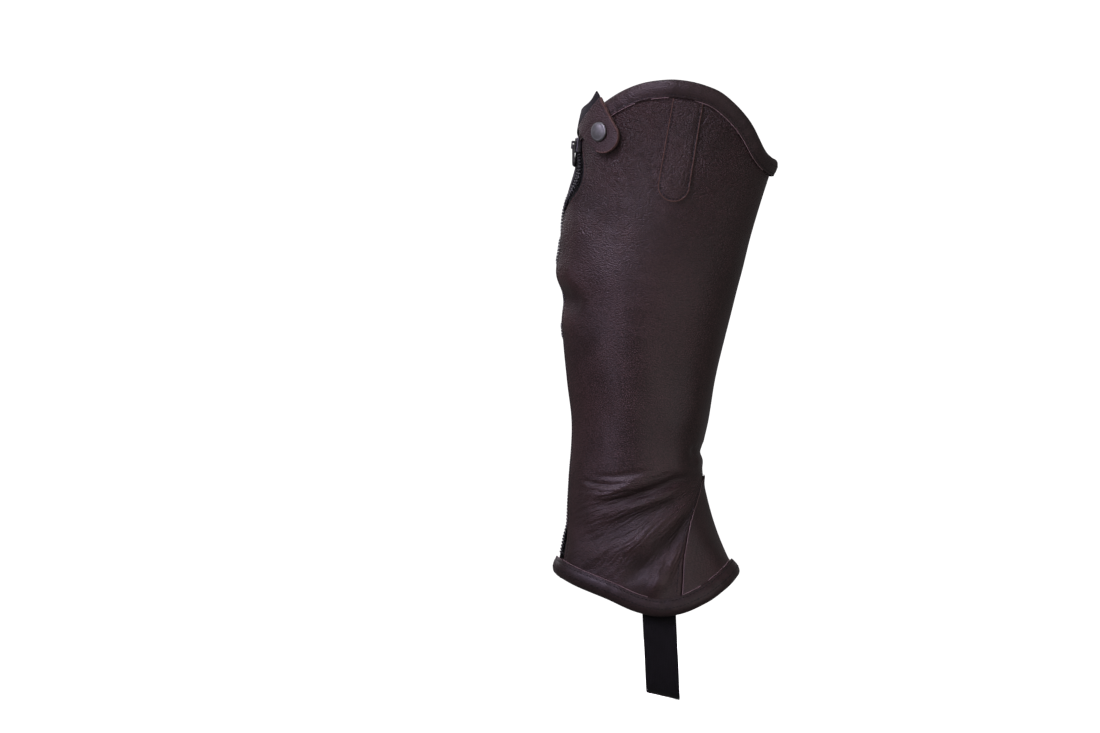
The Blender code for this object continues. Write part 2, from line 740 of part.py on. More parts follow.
def zip_pull(group, look):
    """A flat pull that hangs from its bar. Its origin is on the hinge line."""
    frame = slider_frame()
    pivot = frame @ Vector((0, 0, PIVOT_OUT * MM))
    away = Vector((frame[0][2], frame[1][2], 0)).normalized()
    around = Vector((0, 0, 1)).cross(away)
    hanging = Matrix((around, Vector((0, 0, 1)), away)).transposed().to_4x4()
    hanging.translation = pivot

    half, top_end, foot = PULL_WIDTH / 2, 0.5, -PULL_LENGTH
    turns = [math.radians(step) for step in range(0, 181, 30)]
    body = [(-half, top_end), (-half, foot + half)]
    body += [(-half * math.cos(turn), foot + half - half * math.sin(turn)) for turn in turns[1:-1]]
    body += [(half, foot + half), (half, top_end)]
    eye = [(-1.6, -0.5), (1.6, -0.5), (1.6, -4.2), (-1.6, -4.2)]
    hole = [(1.3 * math.cos(math.tau * step / 12), foot + half + 1.3 * math.sin(math.tau * step / 12))
            for step in range(12)]
    shape = bpy.data.curves.new("zip_pull", "CURVE")
    shape.dimensions = "2D"
    shape.fill_mode = "BOTH"
    shape.extrude = PULL_THICKNESS / 2 * MM
    for points in (body, eye, hole):
        spline = shape.splines.new("POLY")
        spline.points.add(len(points) - 1)
        spline.use_cyclic_u = True
        for point, (x, y) in zip(spline.points, points):
            point.co = (x * MM, y * MM, 0, 1)
    shape.materials.append(look)
    made = bpy.data.objects.new("zip_pull", shape)
    made.matrix_world = hanging
    group.objects.link(made)
    return made


# ---- the strap under the foot ----

def instep_strap(group, look):
    """A U of black elastic, from inside the hem round under the foot."""
    half_path = len(STIRRUP)
    steps = 2 * (half_path - 1)

    def where(u, v):
        row = np.abs(2 * v - 1) * (half_path - 1)
        at = np.arange(half_path)
        side = np.sign(2 * v - 1)
        reach = np.interp(row, at, column(STIRRUP, "half_width")[::-1])
        height = np.interp(row, at, column(STIRRUP, "height")[::-1])
        forward = np.interp(row, at, column(STIRRUP, "forward")[::-1])
        over = (u - 0.5) * STIRRUP_WIDTH
        low = np.clip((-340 - height) / 30, 0, 1)
        return np.stack([forward + over, side * reach, height + STIRRUP_SLOPE * over * low], axis=-1)

    data = bmesh.new()
    add_patch(data, 3, steps, where)
    bmesh.ops.recalc_face_normals(data, faces=data.faces)
    lowest = min(data.faces, key=lambda face: face.calc_center_median().z)
    if lowest.normal.z > 0:
        bmesh.ops.reverse_faces(data, faces=data.faces)
    return wall(to_object(group, "instep_strap", data, look), STRAP)


def build():
    for old in list(bpy.data.objects):
        bpy.data.objects.remove(old)
    group = collection()
    tools = bpy.data.collections.new(NAME + "_cutters")
    bpy.context.scene.collection.children.link(tools)

    leather = material("leather", (0.045, 0.026, 0.03), 0.48)
    trim = material("trim_leather", (0.04, 0.021, 0.025), 0.5)
    tab = material("tab_leather", (0.052, 0.026, 0.028), 0.55)
    elastic = material("elastic", (0.010, 0.010, 0.012), 0.85)
    tape = material("zip_tape", (0.006, 0.006, 0.007), 0.8)
    teeth = material("zip_teeth", (0.05, 0.05, 0.055), 0.35, 0.8)
    metal = material("snap_metal", (0.12, 0.12, 0.14), 0.35, 0.9)

    leather_panel(group, leather)
    ankle_gusset(group, leather)
    tongue_patch(group, leather)
    top_binding(group, trim)
    hem_binding(group, trim)
    inner_seam_strip(group, trim)
    elastic_panel(group, elastic)
    elastic_top_hem(group, elastic)
    top_strap(group, elastic)
    instep_strap(group, elastic)
    zip_pieces(group, tape, teeth)
    zip_guard(group, trim)
    zip_slider(group, tools, teeth)
    zip_pull(group, teeth)
    snap_tab(group, tab)
    snap_pieces(group, metal)


build()
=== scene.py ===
# %% [markdown]
# # A leather half chap for the right leg
#
# A half chap is a leather sleeve for the lower leg. A rider zips it up behind the calf, over
# an ankle boot. This script gives the solid model its looks: grained leather, folded and
# stitched bands, woven elastic, a metal zip and a press stud.
#
# The frame holds the solids in metres: +X is the shin, -Y the outer side of the leg, and +Z
# up. The tables below are in millimetres and degrees, and every mesh is made in metres.

import math
from collections import namedtuple

import bmesh
import bpy
import numpy as np
from mathutils import Matrix, Vector
from mathutils.bvhtree import BVHTree


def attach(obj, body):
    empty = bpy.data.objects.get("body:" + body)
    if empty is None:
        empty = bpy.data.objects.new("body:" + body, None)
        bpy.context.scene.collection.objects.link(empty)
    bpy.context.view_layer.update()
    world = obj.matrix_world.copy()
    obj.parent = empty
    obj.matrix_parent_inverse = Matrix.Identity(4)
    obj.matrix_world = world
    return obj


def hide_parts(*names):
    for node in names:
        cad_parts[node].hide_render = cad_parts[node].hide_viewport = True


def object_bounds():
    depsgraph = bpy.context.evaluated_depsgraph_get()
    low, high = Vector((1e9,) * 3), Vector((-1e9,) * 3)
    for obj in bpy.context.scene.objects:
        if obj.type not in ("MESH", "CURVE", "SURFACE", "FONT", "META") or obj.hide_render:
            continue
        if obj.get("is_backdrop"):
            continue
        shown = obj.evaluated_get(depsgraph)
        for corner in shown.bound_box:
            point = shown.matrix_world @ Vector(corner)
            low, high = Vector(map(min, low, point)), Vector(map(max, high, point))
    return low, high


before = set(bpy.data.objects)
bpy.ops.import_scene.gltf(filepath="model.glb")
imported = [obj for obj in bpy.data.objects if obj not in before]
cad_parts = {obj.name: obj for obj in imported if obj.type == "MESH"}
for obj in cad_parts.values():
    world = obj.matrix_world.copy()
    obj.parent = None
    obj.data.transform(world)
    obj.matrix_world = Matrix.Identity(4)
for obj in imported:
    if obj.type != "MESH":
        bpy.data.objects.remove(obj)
cad_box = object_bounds()
MM = 0.001
BODY = "chap"
print("nodes:", sorted(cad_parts))


# %% Two small helpers
def put(name, data):
    """An object at the scene's origin that shows a mesh, a lamp or a camera."""
    made = bpy.data.objects.new(name, data)
    bpy.context.scene.collection.objects.link(made)
    return made


def table(names, rows):
    """Rows of numbers whose columns have names."""
    Row = namedtuple("Row", names)
    return [Row(*row) for row in rows]


print("a row of a table:", table("angle height", [(90.0, 108.0)])[0])

# %% [markdown]
# ## Camera, floor and light
#
# The view is square to the outer side and level with the lower calf. It is taken from far
# away through a very long lens, so the leg looks as flat as a pattern. The floor is a wide
# disc that sweeps up into a wall all round, so no horizon shows behind the leather from any
# side. It glows evenly, and reflections leave it out, because a white room mirrored in dark
# leather would wash out its colour.

# %% Camera
VIEW_MIDDLE = (-84.2, -114.3)
VIEW_WIDTH = 858.0
CAMERA_AWAY = 12000.0
SENSOR = 36.0
SEES_TO = 100.0

camera = bpy.data.cameras.new("camera")
camera.sensor_width = SENSOR
camera.lens = SENSOR * CAMERA_AWAY / VIEW_WIDTH
camera.clip_end = SEES_TO
camera_object = put("camera", camera)
camera_object.location = (VIEW_MIDDLE[0] * MM, -CAMERA_AWAY * MM, VIEW_MIDDLE[1] * MM)
camera_object.rotation_euler = (math.pi / 2, 0, 0)
bpy.context.scene.camera = camera_object
print("lens:", round(camera.lens, 1), "mm")


# %% Two helpers for materials
def set_inputs(node, values):
    """Sets plain values on a node by the names of its sockets."""
    for name, value in values.items():
        node.inputs[name].default_value = value


def new_material(name, color, roughness, metallic=0.0):
    """A node material with its shader's plain values set; patterns are linked on top."""
    made = bpy.data.materials.new(name)
    made.use_nodes = True
    shader = made.node_tree.nodes["Principled BSDF"]
    set_inputs(shader, {"Base Color": (*color, 1.0), "Roughness": roughness,
                        "Metallic": metallic})
    return made, made.node_tree, shader


floor_look, _, floor_shader = new_material("pale_floor", (0.86, 0.86, 0.87), 0.8)
set_inputs(floor_shader, {"Specular IOR Level": 0.2, "Emission Color": (1.0, 1.0, 1.0, 1.0),
                          "Emission Strength": 1.0})
print("material:", floor_look.name)

# %% Floor and the wall round it
FLOOR_Z = cad_box[0][2] / MM - 0.8
FLOOR_RADIUS = 13500.0
SWEEP_RADIUS = 1500.0
WALL_TOP = 9000.0


def sweep_profile():
    """Points (away, height) of the floor, a quarter turn and the wall round it."""
    turns = np.linspace(0, math.pi / 2, 17)
    points = [(FLOOR_RADIUS + SWEEP_RADIUS * math.sin(t), SWEEP_RADIUS * (1 - math.cos(t)))
              for t in turns]
    return [(FLOOR_RADIUS / 2, 0.0), *points, (FLOOR_RADIUS + SWEEP_RADIUS, WALL_TOP)]


def stored_mesh(name, data):
    """Keeps an editable mesh under a name, with smooth shading."""
    mesh = bpy.data.meshes.new(name)
    data.to_mesh(mesh)
    data.free()
    mesh.shade_smooth()
    return mesh


def make_floor(sides=48):
    data = bmesh.new()
    middle = data.verts.new((0, 0, FLOOR_Z * MM))
    turns = [2 * math.pi * k / sides for k in range(sides)]
    rings = [[data.verts.new((away * math.cos(t) * MM, away * math.sin(t) * MM,
                              (FLOOR_Z + height) * MM)) for t in turns]
             for away, height in sweep_profile()]
    for k in range(sides):
        after = (k + 1) % sides
        data.faces.new((middle, rings[0][k], rings[0][after]))
        for low, high in zip(rings, rings[1:]):
            data.faces.new((low[k], high[k], high[after], low[after]))
    floor = put("floor", stored_mesh("floor", data))
    floor.data.materials.append(floor_look)
    floor.visible_glossy = False
    floor.visible_diffuse = False
    floor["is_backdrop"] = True
    print("floor:", len(floor.data.polygons), "faces")


make_floor()

# %% [markdown]
# ### Pools of shine
#
# Dark leather shows its form by where it shines. A soft box with a narrow spread lays one
# pool of shine on one part of the leg, and most of these stand to the upper left. The wide
# boxes open up the shadows on the shin, the back and the inner side. The inner one gives no
# reflection, because it would draw a bright rim along the leg.

# %% Soft studio lights
SOFT_BOXES = table("name place aim width height spread watts color", [
    ("key", (-0.6, -0.8, 0.9), (-0.05, 0, 0.12), 0.6, 0.5, 38, 0.62, (1.0, 0.86, 1.08)),
    ("side", (-1.4, -0.4, 0.6), (-0.05, 0, 0.04), 0.5, 0.7, 32, 0.115, (1.0, 0.84, 1.16)),
    ("calf", (-0.75, -1.05, 0.1), (-0.03, 0, 0.07), 0.5, 0.4, 24, 0.065, (1.0, 0.84, 1.12)),
    ("ankle", (-0.55, -0.75, 0.45), (-0.01, 0, -0.245), 0.4, 0.3, 25, 0.030, (1.0, 0.80, 1.22)),
    ("sheen", (-0.95, -1.2, 0.7), (-0.02, 0, 0.09), 1.1, 0.9, 50, 0.52, (1.0, 0.78, 1.25)),
    ("fill", (1.7, -2.3, 0.3), (0, 0, -0.1), 3.6, 2.6, 180, 21.0, (1.0, 0.87, 0.91)),
    ("top", (-0.2, 0.3, 2.2), (0, 0, 0), 1.4, 1.4, 180, 10.0, (1.0, 0.95, 1.05)),
    ("back", (-1.1, 1.6, 0.9), (0, 0, -0.1), 1.2, 1.2, 180, 7.0, (1.0, 0.95, 1.05)),
    ("inner", (0.4, 2.4, 0.6), (0, 0, -0.1), 1.2, 1.4, 180, 26.0, (1.0, 0.95, 1.0)),
])
for box in SOFT_BOXES:
    light = bpy.data.lights.new(box.name, "AREA")
    light.shape = "RECTANGLE"
    light.size = box.width
    light.size_y = box.height
    light.spread = math.radians(box.spread)
    light.energy = box.watts
    light.color = box.color
    lamp = put(box.name, light)
    lamp.visible_glossy = box.name != "inner"
    lamp.location = box.place
    aim = Vector(box.aim) - Vector(box.place)
    lamp.rotation_euler = aim.to_track_quat("-Z", "Y").to_euler()
print("lights:", [box.name for box in SOFT_BOXES])

# %% The light of the room
world = bpy.data.worlds.new("studio")
world.use_nodes = True
room = world.node_tree.nodes["Background"]
set_inputs(room, {"Color": (1.0, 0.95, 0.97, 1.0), "Strength": 0.15})
bpy.context.scene.world = world
bpy.context.scene.view_settings.view_transform = "Standard"
print("room light:", round(room.inputs["Strength"].default_value, 2))

# %% [markdown]
# ## The leg that everything lies on
#
# Leather follows the leg, so all pieces share one leg form: a stack of sections, each an
# egg-shaped ring. A place is an angle round the leg (0 at the back, 90 at the outer side,
# 180 at the shin, 270 at the inner side), a height, and a distance out from the leather's
# face. A short table read on a smooth curve is easier to change than a sculpted mesh.

# %% Sections of the leg
SECTIONS = table("height back shin half_width widest", [
    (-312, -82.5, 84.0, 48.0, 0.50),
    (-281, -80.3, 66.3, 46.5, 0.50),
    (-265, -78.0, 56.4, 45.5, 0.50),
    (-254, -75.5, 51.0, 44.7, 0.50),
    (-242, -73.0, 45.8, 44.0, 0.50),
    (-218, -71.4, 38.4, 43.0, 0.50),
    (-195, -70.0, 34.8, 42.5, 0.50),
    (-179, -68.6, 35.2, 42.5, 0.50),
    (-156, -67.8, 39.8, 43.5, 0.50),
    (-125, -71.4, 44.8, 45.5, 0.49),
    (-94, -74.4, 51.5, 48.0, 0.48),
    (-62, -75.4, 59.8, 50.0, 0.47),
    (-39, -78.2, 66.0, 51.0, 0.46),
    (-16, -76.8, 71.6, 52.0, 0.46),
    (16, -72.4, 81.0, 54.0, 0.46),
    (43, -64.9, 89.0, 55.5, 0.46),
    (70, -61.2, 95.0, 57.0, 0.46),
    (112, -51.6, 100.2, 60.0, 0.46),
])
print("sections:", len(SECTIONS), "from", SECTIONS[0].height, "to", SECTIONS[-1].height, "mm")


# %% Reading a table on a smooth curve
def column(rows, name):
    return np.array([getattr(row, name) for row in rows], dtype=float)


def smooth(rows, name, at):
    """A table's column, read between its rows on a smooth curve over the first column."""
    places = column(rows, rows[0]._fields[0])
    values = column(rows, name)
    steps = np.diff(places)
    slopes = np.diff(values) / steps
    tangents = np.concatenate([
        slopes[:1],
        (slopes[:-1] * steps[1:] + slopes[1:] * steps[:-1]) / (steps[:-1] + steps[1:]),
        slopes[-1:]])
    at = np.clip(at, places[0], places[-1])
    row = np.clip(np.searchsorted(places, at) - 1, 0, len(steps) - 1)
    t = (at - places[row]) / steps[row]
    return ((2 * t ** 3 - 3 * t ** 2 + 1) * values[row]
            + (t ** 3 - 2 * t ** 2 + t) * steps[row] * tangents[row]
            + (3 * t ** 2 - 2 * t ** 3) * values[row + 1]
            + (t ** 3 - t ** 2) * steps[row] * tangents[row + 1])


print("half width between two rows:", round(float(smooth(SECTIONS, "half_width", 0.0)), 1), "mm")


# %% Points on the leg
def section(height):
    """Back, middle, shin and half width of the leg at a height."""
    back = smooth(SECTIONS, "back", height)
    shin = smooth(SECTIONS, "shin", height)
    middle = back + smooth(SECTIONS, "widest", height) * (shin - back)
    return back, middle, shin, smooth(SECTIONS, "half_width", height)


def form(angle, height):
    """A point of the bare form: a quarter ellipse behind the widest place, another before."""
    back, middle, shin, half_width = section(height)
    turn = np.radians(angle)
    reach = np.where(np.cos(turn) > 0, middle - back, shin - middle)
    return np.stack([middle - reach * np.cos(turn), -half_width * np.sin(turn), height], axis=-1)


def unit(vectors):
    return vectors / np.linalg.norm(vectors, axis=-1, keepdims=True)


def outward(angle, height):
    around = form(angle + 0.5, height) - form(angle - 0.5, height)
    upward = form(angle, height + 1.0) - form(angle, height - 1.0)
    return unit(np.cross(around, upward))


def place_of(points):
    """The angle and height of points near the form."""
    height = points[..., 2]
    back, middle, shin, half_width = section(height)
    reach = np.where(points[..., 0] < middle, middle - back, shin - middle)
    turn = np.arctan2(-points[..., 1] / half_width, (middle - points[..., 0]) / reach)
    return np.degrees(turn) % 360, height


calf = form(np.linspace(0, 360, 200), np.zeros(200))
print("calf girth:", round(np.linalg.norm(np.diff(calf, axis=0), axis=1).sum()), "mm")

# %% [markdown]
# ### Measuring round the leg
#
# A tailor measures along the cloth, not through the air. One table of lengths round the
# leg, for each height, answers both questions: how far an angle lies from the middle of the
# back, and which angle lies a distance away from it.

# %% Lengths round the leg
LEVELS = np.linspace(-330, 130, 461)
TURNS = np.linspace(0, 180, 181)


def measure_rings():
    angles, heights = np.meshgrid(TURNS, LEVELS)
    ring = form(angles, heights)
    steps = np.linalg.norm(np.diff(ring, axis=1), axis=2)
    return np.concatenate([np.zeros((len(LEVELS), 1)), np.cumsum(steps, axis=1)], axis=1)


RINGS = measure_rings()


def length_around(angle, height):
    """Signed length from the middle of the back; the inner side is below zero."""
    angle = (np.asarray(angle, float) + 180) % 360 - 180
    row = np.clip(height - LEVELS[0], 0, len(LEVELS) - 1.001)
    low, share = row.astype(int), row % 1
    turn = np.clip(np.abs(angle), 0, 179.999)
    first, part = turn.astype(int), turn % 1
    at_low = RINGS[low, first] * (1 - part) + RINGS[low, first + 1] * part
    at_high = RINGS[low + 1, first] * (1 - part) + RINGS[low + 1, first + 1] * part
    return np.sign(angle) * (at_low * (1 - share) + at_high * share)


def angles_on(rings, distance):
    """The angle on each ring that lies a distance round from the middle of the back."""
    return np.array([math.copysign(np.interp(abs(far), ring, TURNS), far)
                     for far, ring in zip(distance, rings)])


def angle_around(distance, height):
    every_level = angles_on(RINGS, np.broadcast_to(distance, LEVELS.shape))
    return np.interp(height, LEVELS, every_level)


def rings_at(height):
    """The rows of the table at heights between its levels."""
    row = np.clip(height - LEVELS[0], 0, len(LEVELS) - 1.001)
    low, share = row.astype(int), (row % 1)[:, None]
    return RINGS[low] * (1 - share) + RINGS[low + 1] * share


print("ring table:", RINGS.shape)

# %% [markdown]
# ## Creases and ridges
#
# Worn leather doesn't crumple at random. It folds where the ankle bends, in a fan that
# starts at the point of the wedge over the instep, and it buckles softly beside the stiff
# zip. Each fold here is a line on the leg with a width and a depth: below zero it is a
# valley, above zero a ridge. The broad folds are in the solid model too. The bent creases
# of the ankle and the fine folds are drawn here alone.

# %% Straight folds
FOLD = "from_angle from_height to_angle to_height width depth"
MAIN_FOLDS = table(FOLD, [
    # shin, just above the wedge
    (150, -180, 208, -181, 4.0, -1.7),
    (160, -188, 200, -188, 4.0, 0.8),
    # outer calf, beside the zip
    (8, -60, 34, -64, 8.5, -2.5),
    (4, -77, 26, -82, 9.0, 0.9),
    (6, -41, 28, -44, 12.0, 2.3),
    (40, 16, 58, 0, 12.0, -1.5),
    (20, -5, 34, -10, 12.0, 1.2),
    # inner side
    (206, -196, 274, -188, 9.0, -2.6),
    (216, -213, 272, -209, 11.0, 1.7),
    (222, -226, 262, -250, 8.0, -1.3),
    (238, -252, 262, -272, 8.0, 1.2),
    (246, -126, 276, -119, 12.0, -1.3),
    (228, -150, 272, -154, 14.0, 1.0),
])
FINE_FOLDS = table(FOLD, [
    # shin and inner side
    (158, -176, 198, -175, 2.2, -0.4),
    (212, -190, 240, -186, 2.6, -0.5),
    (236, -204, 262, -200, 2.6, 0.5),
    (228, -220, 250, -232, 2.6, -0.5),
    (240, -236, 256, -250, 2.4, 0.45),
    (214, -206, 236, -214, 2.4, -0.45),
])
print("straight folds:", len(MAIN_FOLDS), "broad and", len(FINE_FOLDS), "fine")

# %% Bent creases of the ankle
ANKLE_CREASES = table("width depth line", [
    # valleys and ridges that fan out from the wedge's point; a line is (angle, height) spots
    (4.4, -3.5, [(56, -223), (78, -218), (94, -214), (126, -203), (168, -199)]),
    (5.6, 2.2, [(40, -214), (58, -214), (75, -211), (104, -204)]),
    (5.5, 1.6, [(40, -233), (62, -229), (87, -222), (120, -212), (150, -204)]),
    (4.2, -1.4, [(56, -243), (91, -230), (144, -211)]),
    (6.0, 2.4, [(66, -264), (80, -255), (95, -246), (120, -231), (146, -214)]),
    (5.2, -2.9, [(74, -284), (86, -272), (102, -259), (124, -242), (148, -221)]),
    (5.2, 2.4, [(88, -294), (96, -283), (104, -273), (118, -258), (134, -239)]),
    (3.4, -1.3, [(97, -296), (108, -277), (118, -264), (134, -246)]),
    (7.0, 1.1, [(46, -268), (58, -258), (74, -250)]),
    (6.0, -0.9, [(44, -250), (60, -247), (80, -240)]),
    # small wrinkles at the ankle's upper edge
    (1.7, -0.8, [(37, -203), (56, -206), (70, -207), (84, -206)]),
    (1.6, 0.5, [(37, -206), (56, -209), (66, -210)]),
    (1.8, -0.7, [(46, -210), (60, -212), (74, -212), (96, -208)]),
    (2.0, -0.6, [(50, -199), (70, -200), (92, -197), (108, -195)]),
    (1.8, 0.5, [(64, -203), (84, -203), (104, -199)]),
    (1.6, -0.5, [(96, -204), (112, -200), (124, -196)]),
])
print("bent creases:", len(ANKLE_CREASES))


# %% How far the folds move the leather
def millimetres_per_degree(height):
    back, _, shin, half_width = section(height)
    return math.pi / 360 * (half_width + (shin - back) / 2)


def off_line(angle, height, start, stop):
    """Share of the way along a straight run, and the distance away from it."""
    per_degree = millimetres_per_degree(height)
    across = ((angle - start[0] + 180) % 360 - 180) * per_degree
    up = height - start[1]
    run = np.stack([(stop[0] - start[0]) * per_degree,
                    np.full_like(height, stop[1] - start[1])])
    share = np.clip((across * run[0] + up * run[1]) / (run ** 2).sum(axis=0), 0, 1)
    return share, np.hypot(across - share * run[0], up - share * run[1])


def fold_depth(angle, height, folds):
    """How far folds move the leather out at a place."""
    total = np.zeros_like(height)
    for fold in folds:
        away = off_line(angle, height, fold[:2], fold[2:4])[1]
        total = total + fold.depth * np.exp(-(away / fold.width) ** 2)
    return total


def crease_depth(angle, height, creases):
    """The same for bent lines, which fade towards both their ends."""
    total = np.zeros_like(height)
    for crease in creases:
        nearest = np.full_like(height, np.inf)
        gone = np.zeros_like(height)
        parts = len(crease.line) - 1
        for part in range(parts):
            share, away = off_line(angle, height, *crease.line[part:part + 2])
            gone = np.where(away < nearest, (part + share) / parts, gone)
            nearest = np.minimum(away, nearest)
        fade = np.clip(np.minimum(gone, 1 - gone) * 4, 0, 1)
        swell = 1 + 0.25 * np.sin(gone * 9.0 + crease.width * 5)
        total = total + crease.depth * fade * swell * np.exp(-(nearest / crease.width) ** 2)
    return total


def skin(angle, height, out=0.0):
    """Points on the leather's outer face, or a distance out from it."""
    angle, height = np.broadcast_arrays(np.asarray(angle, float), np.asarray(height, float))
    move = np.asarray(out + fold_depth(angle, height, MAIN_FOLDS))
    return form(angle, height) + outward(angle, height) * move[..., None]


up_ankle = np.linspace(-290, -195, 96)
beside_ankle = np.full_like(up_ankle, 90.0)
print("deepest crease at the side of the ankle:",
      round(crease_depth(beside_ankle, up_ankle, ANKLE_CREASES).min(), 1), "mm")

# %% [markdown]
# ### The small creases between the folds
#
# Between the folds the hide is crossed by many small creases that run the same way. A
# seeded lattice of random numbers gives them: it is read in coordinates that turn about the
# wedge's point, stretched along the fan, and cut where it passes its middle value. That
# makes a sharp little valley between two soft ridges, as in creased leather.

# %% Small creases
WEDGE_POINT = (180.0, -188.0)
FAN_AHEAD = 9.0
LATTICE_SIDE = 64
LATTICE = np.random.default_rng(11).random((LATTICE_SIDE, LATTICE_SIDE))


def lattice_noise(x, y):
    """Smooth noise between 0 and 1 from the lattice, which repeats after its last row."""
    column, row = np.floor(x).astype(int), np.floor(y).astype(int)
    right, up = x - column, y - row
    right, up = right ** 2 * (3 - 2 * right), up ** 2 * (3 - 2 * up)
    corner = [[LATTICE[(column + i) % LATTICE_SIDE, (row + j) % LATTICE_SIDE]
               for j in (0, 1)] for i in (0, 1)]
    low = corner[0][0] * (1 - right) + corner[1][0] * right
    high = corner[0][1] * (1 - right) + corner[1][1] * right
    return low * (1 - up) + high * up


def fan_place(angle, height):
    """Distance from the wedge's point in millimetres, and the direction in radians."""
    ahead = FAN_AHEAD + length_around(WEDGE_POINT[0] - 0.01, height) - np.abs(
        length_around(angle, height))
    down = WEDGE_POINT[1] - 4.0 - height
    return np.hypot(ahead, down), np.arctan2(down, ahead)


def crumple_share(angle, height):
    """Where the hide is creased: all round the ankle, but not next to the zip."""
    ankle = np.exp(-(np.clip(np.abs(height + 243) - 22, 0, None) / 16) ** 2)
    outer = np.clip((angle - 26) / 26, 0, 1)
    inner = 0.6 * np.clip((300 - angle) / 20, 0, 1)
    return ankle * np.where(angle < 180, outer, inner)


def crumple(angle, height):
    reach, spread = fan_place(angle, height)
    across = spread * 58.0 + 1.5 * np.sin(reach / 13.0)
    total = 0.0
    for length, width, depth in ((44.0, 6.0, 0.20), (30.0, 3.4, 0.08)):
        noise = lattice_noise(reach / length + width, across / width)
        total = total + depth * (np.minimum(np.abs(2 * noise - 1) * 1.8, 1.0) - 0.55)
    return total * crumple_share(angle, height)


print("small creases reach", -round(crumple(beside_ankle, up_ankle).min(), 2), "mm in")

# %% [markdown]
# ## Lines that several pieces share
#
# The top edge, the hem, the zip and the inner seam are each one line, used by every piece
# that meets there, so the pieces still meet when a line moves.

# %% Widths and thicknesses
ZIP_OPENING = 8.0
ELASTIC_WIDTH = 59.0
SEAM_STRIP = 9.0
SEAM_GAP = 0.3
BAND_FOLD = 2.6
BAND = 10.8
HEM_BAND = 11.0
TOP_HEM = 20.0
NOTCH_SHARE = 0.24
LEATHER = 1.8
TRIM = 1.2
TAB_HIDE = 2.4
ELASTIC = 1.2
FOLDED_ELASTIC = 1.0
TAPE = 1.0
WEBBING = 1.6
LAID_ON = 0.45
ELASTIC_BELOW = 0.7
print("leather:", LEATHER, "mm, trim:", TRIM, "mm, elastic:", ELASTIC, "mm")

# %% The edges
EDGE = "angle height"
TOP_EDGE = table(EDGE, [
    (0, 62.0), (15, 72.0), (22, 76.8), (30, 83.2), (38, 90.3), (50, 98.6), (64, 105.2),
    (77, 107.9), (87, 108.3), (95, 107.0), (104, 103.8), (113, 98.8), (120, 92.4), (127, 85.0),
    (135, 75.6), (141, 67.6), (147, 60.0), (155, 53.2), (163, 49.8), (180, 47.8), (210, 49.2),
    (240, 54.5), (270, 65.5), (290, 74.0), (304, 80.0), (360, 84.0),
])
HEM_EDGE = table(EDGE, [
    (-20, -281.0), (0, -275.5), (6, -276.0), (42, -286.3), (63, -295.4), (80, -305.6),
    (91, -308.9), (102, -307.0), (120, -298.7), (140, -287.8), (165, -278.2), (180, -276.4),
    (195, -278.2), (220, -286.5), (240, -295.5), (258, -303.0), (268, -304.5), (280, -302.0),
    (303, -291.5), (330, -281.5), (352, -276.8), (365, -275.8), (380, -279.0),
])
ELASTIC_TOP = table(EDGE, [
    (296, 53.5), (306, 53.7), (322, 56.2), (338, 59.6), (350, 61.2), (372, 61.4),
])
top_edge_heights = [row.height for row in TOP_EDGE]
print("top edge:", min(top_edge_heights), "to", max(top_edge_heights), "mm")

# %% The zip's line and the wedge
ZIP_LINE = table("height around", [
    (-285, 6.0), (-271, 7.0), (-262, 8.5), (-250, 7.0), (-238, 4.0), (-224, 2.2), (-120, 1.5),
    (-15, 2.5), (2, 4.0), (12, 7.5), (18, 12.5), (24, 18.0), (30, 21.0), (36, 20.5), (44, 16.5),
    (52, 11.5), (60, 8.5), (84, 8.0),
])
WEDGE = table("share half_angle", [
    (0.0, 0.0), (0.1, 15.0), (0.28, 37.0), (0.47, 53.0), (0.7, 65.8), (1.0, 78.0),
])
print("zip line:", len(ZIP_LINE), "rows, wedge:", len(WEDGE), "rows")


# %% Lines that run beside a line
def path_lengths(path):
    points = form(path[:, 0], path[:, 1])
    steps = np.linalg.norm(np.diff(points, axis=0), axis=1)
    return points, np.concatenate([[0], np.cumsum(steps)])


def alongside(path, share, left):
    """Places a share of the way along a path, stepped to its left as seen from outside."""
    points, gone = path_lengths(path)
    heading = unit(np.gradient(points, gone, axis=0))
    sideways = np.cross(outward(path[:, 0], path[:, 1]), heading)
    at = share * gone[-1]
    spots = [np.interp(at, gone, points[:, axis]) + left * np.interp(at, gone, sideways[:, axis])
             for axis in range(3)]
    return place_of(np.stack(spots, axis=-1))


def zip_path(count=400):
    heights = np.linspace(ZIP_LINE[0].height, ZIP_LINE[-1].height, count)
    return np.stack([angle_around(smooth(ZIP_LINE, "around", LEVELS), heights), heights], axis=-1)


def side_of_zip(left):
    path = zip_path()
    angles, heights = alongside(path, np.linspace(0, 1, len(path)), left)
    return heights, (angles + 90) % 360 - 90


ZIP_SIDES = {left: side_of_zip(left) for left in (-ZIP_OPENING, ZIP_OPENING)}


def zip_side(left, height):
    """Angle of a line beside the zip at a height; left is towards the inner side."""
    heights, angles = ZIP_SIDES[left]
    return np.interp(height, heights, angles)


print("zip length:", round(path_lengths(zip_path())[1][-1]), "mm")


# %% Seam, edges and the panels between them
def inner_seam(height, distance=ELASTIC_WIDTH):
    """Angle of the seam between the elastic and the leather's inner edge."""
    return 360 - angle_around(distance, height)


def hem(angle):
    """The leather's lower edge, inside the hem band's fold."""
    return smooth(HEM_EDGE, "height", angle) + BAND_FOLD


def top(angle):
    """The leather's upper edge, inside the top band's fold."""
    return smooth(TOP_EDGE, "height", angle) - BAND_FOLD


def elastic_top(angle):
    return smooth(ELASTIC_TOP, "height", angle)


def between(first, last, share):
    return first + (last - first) * share


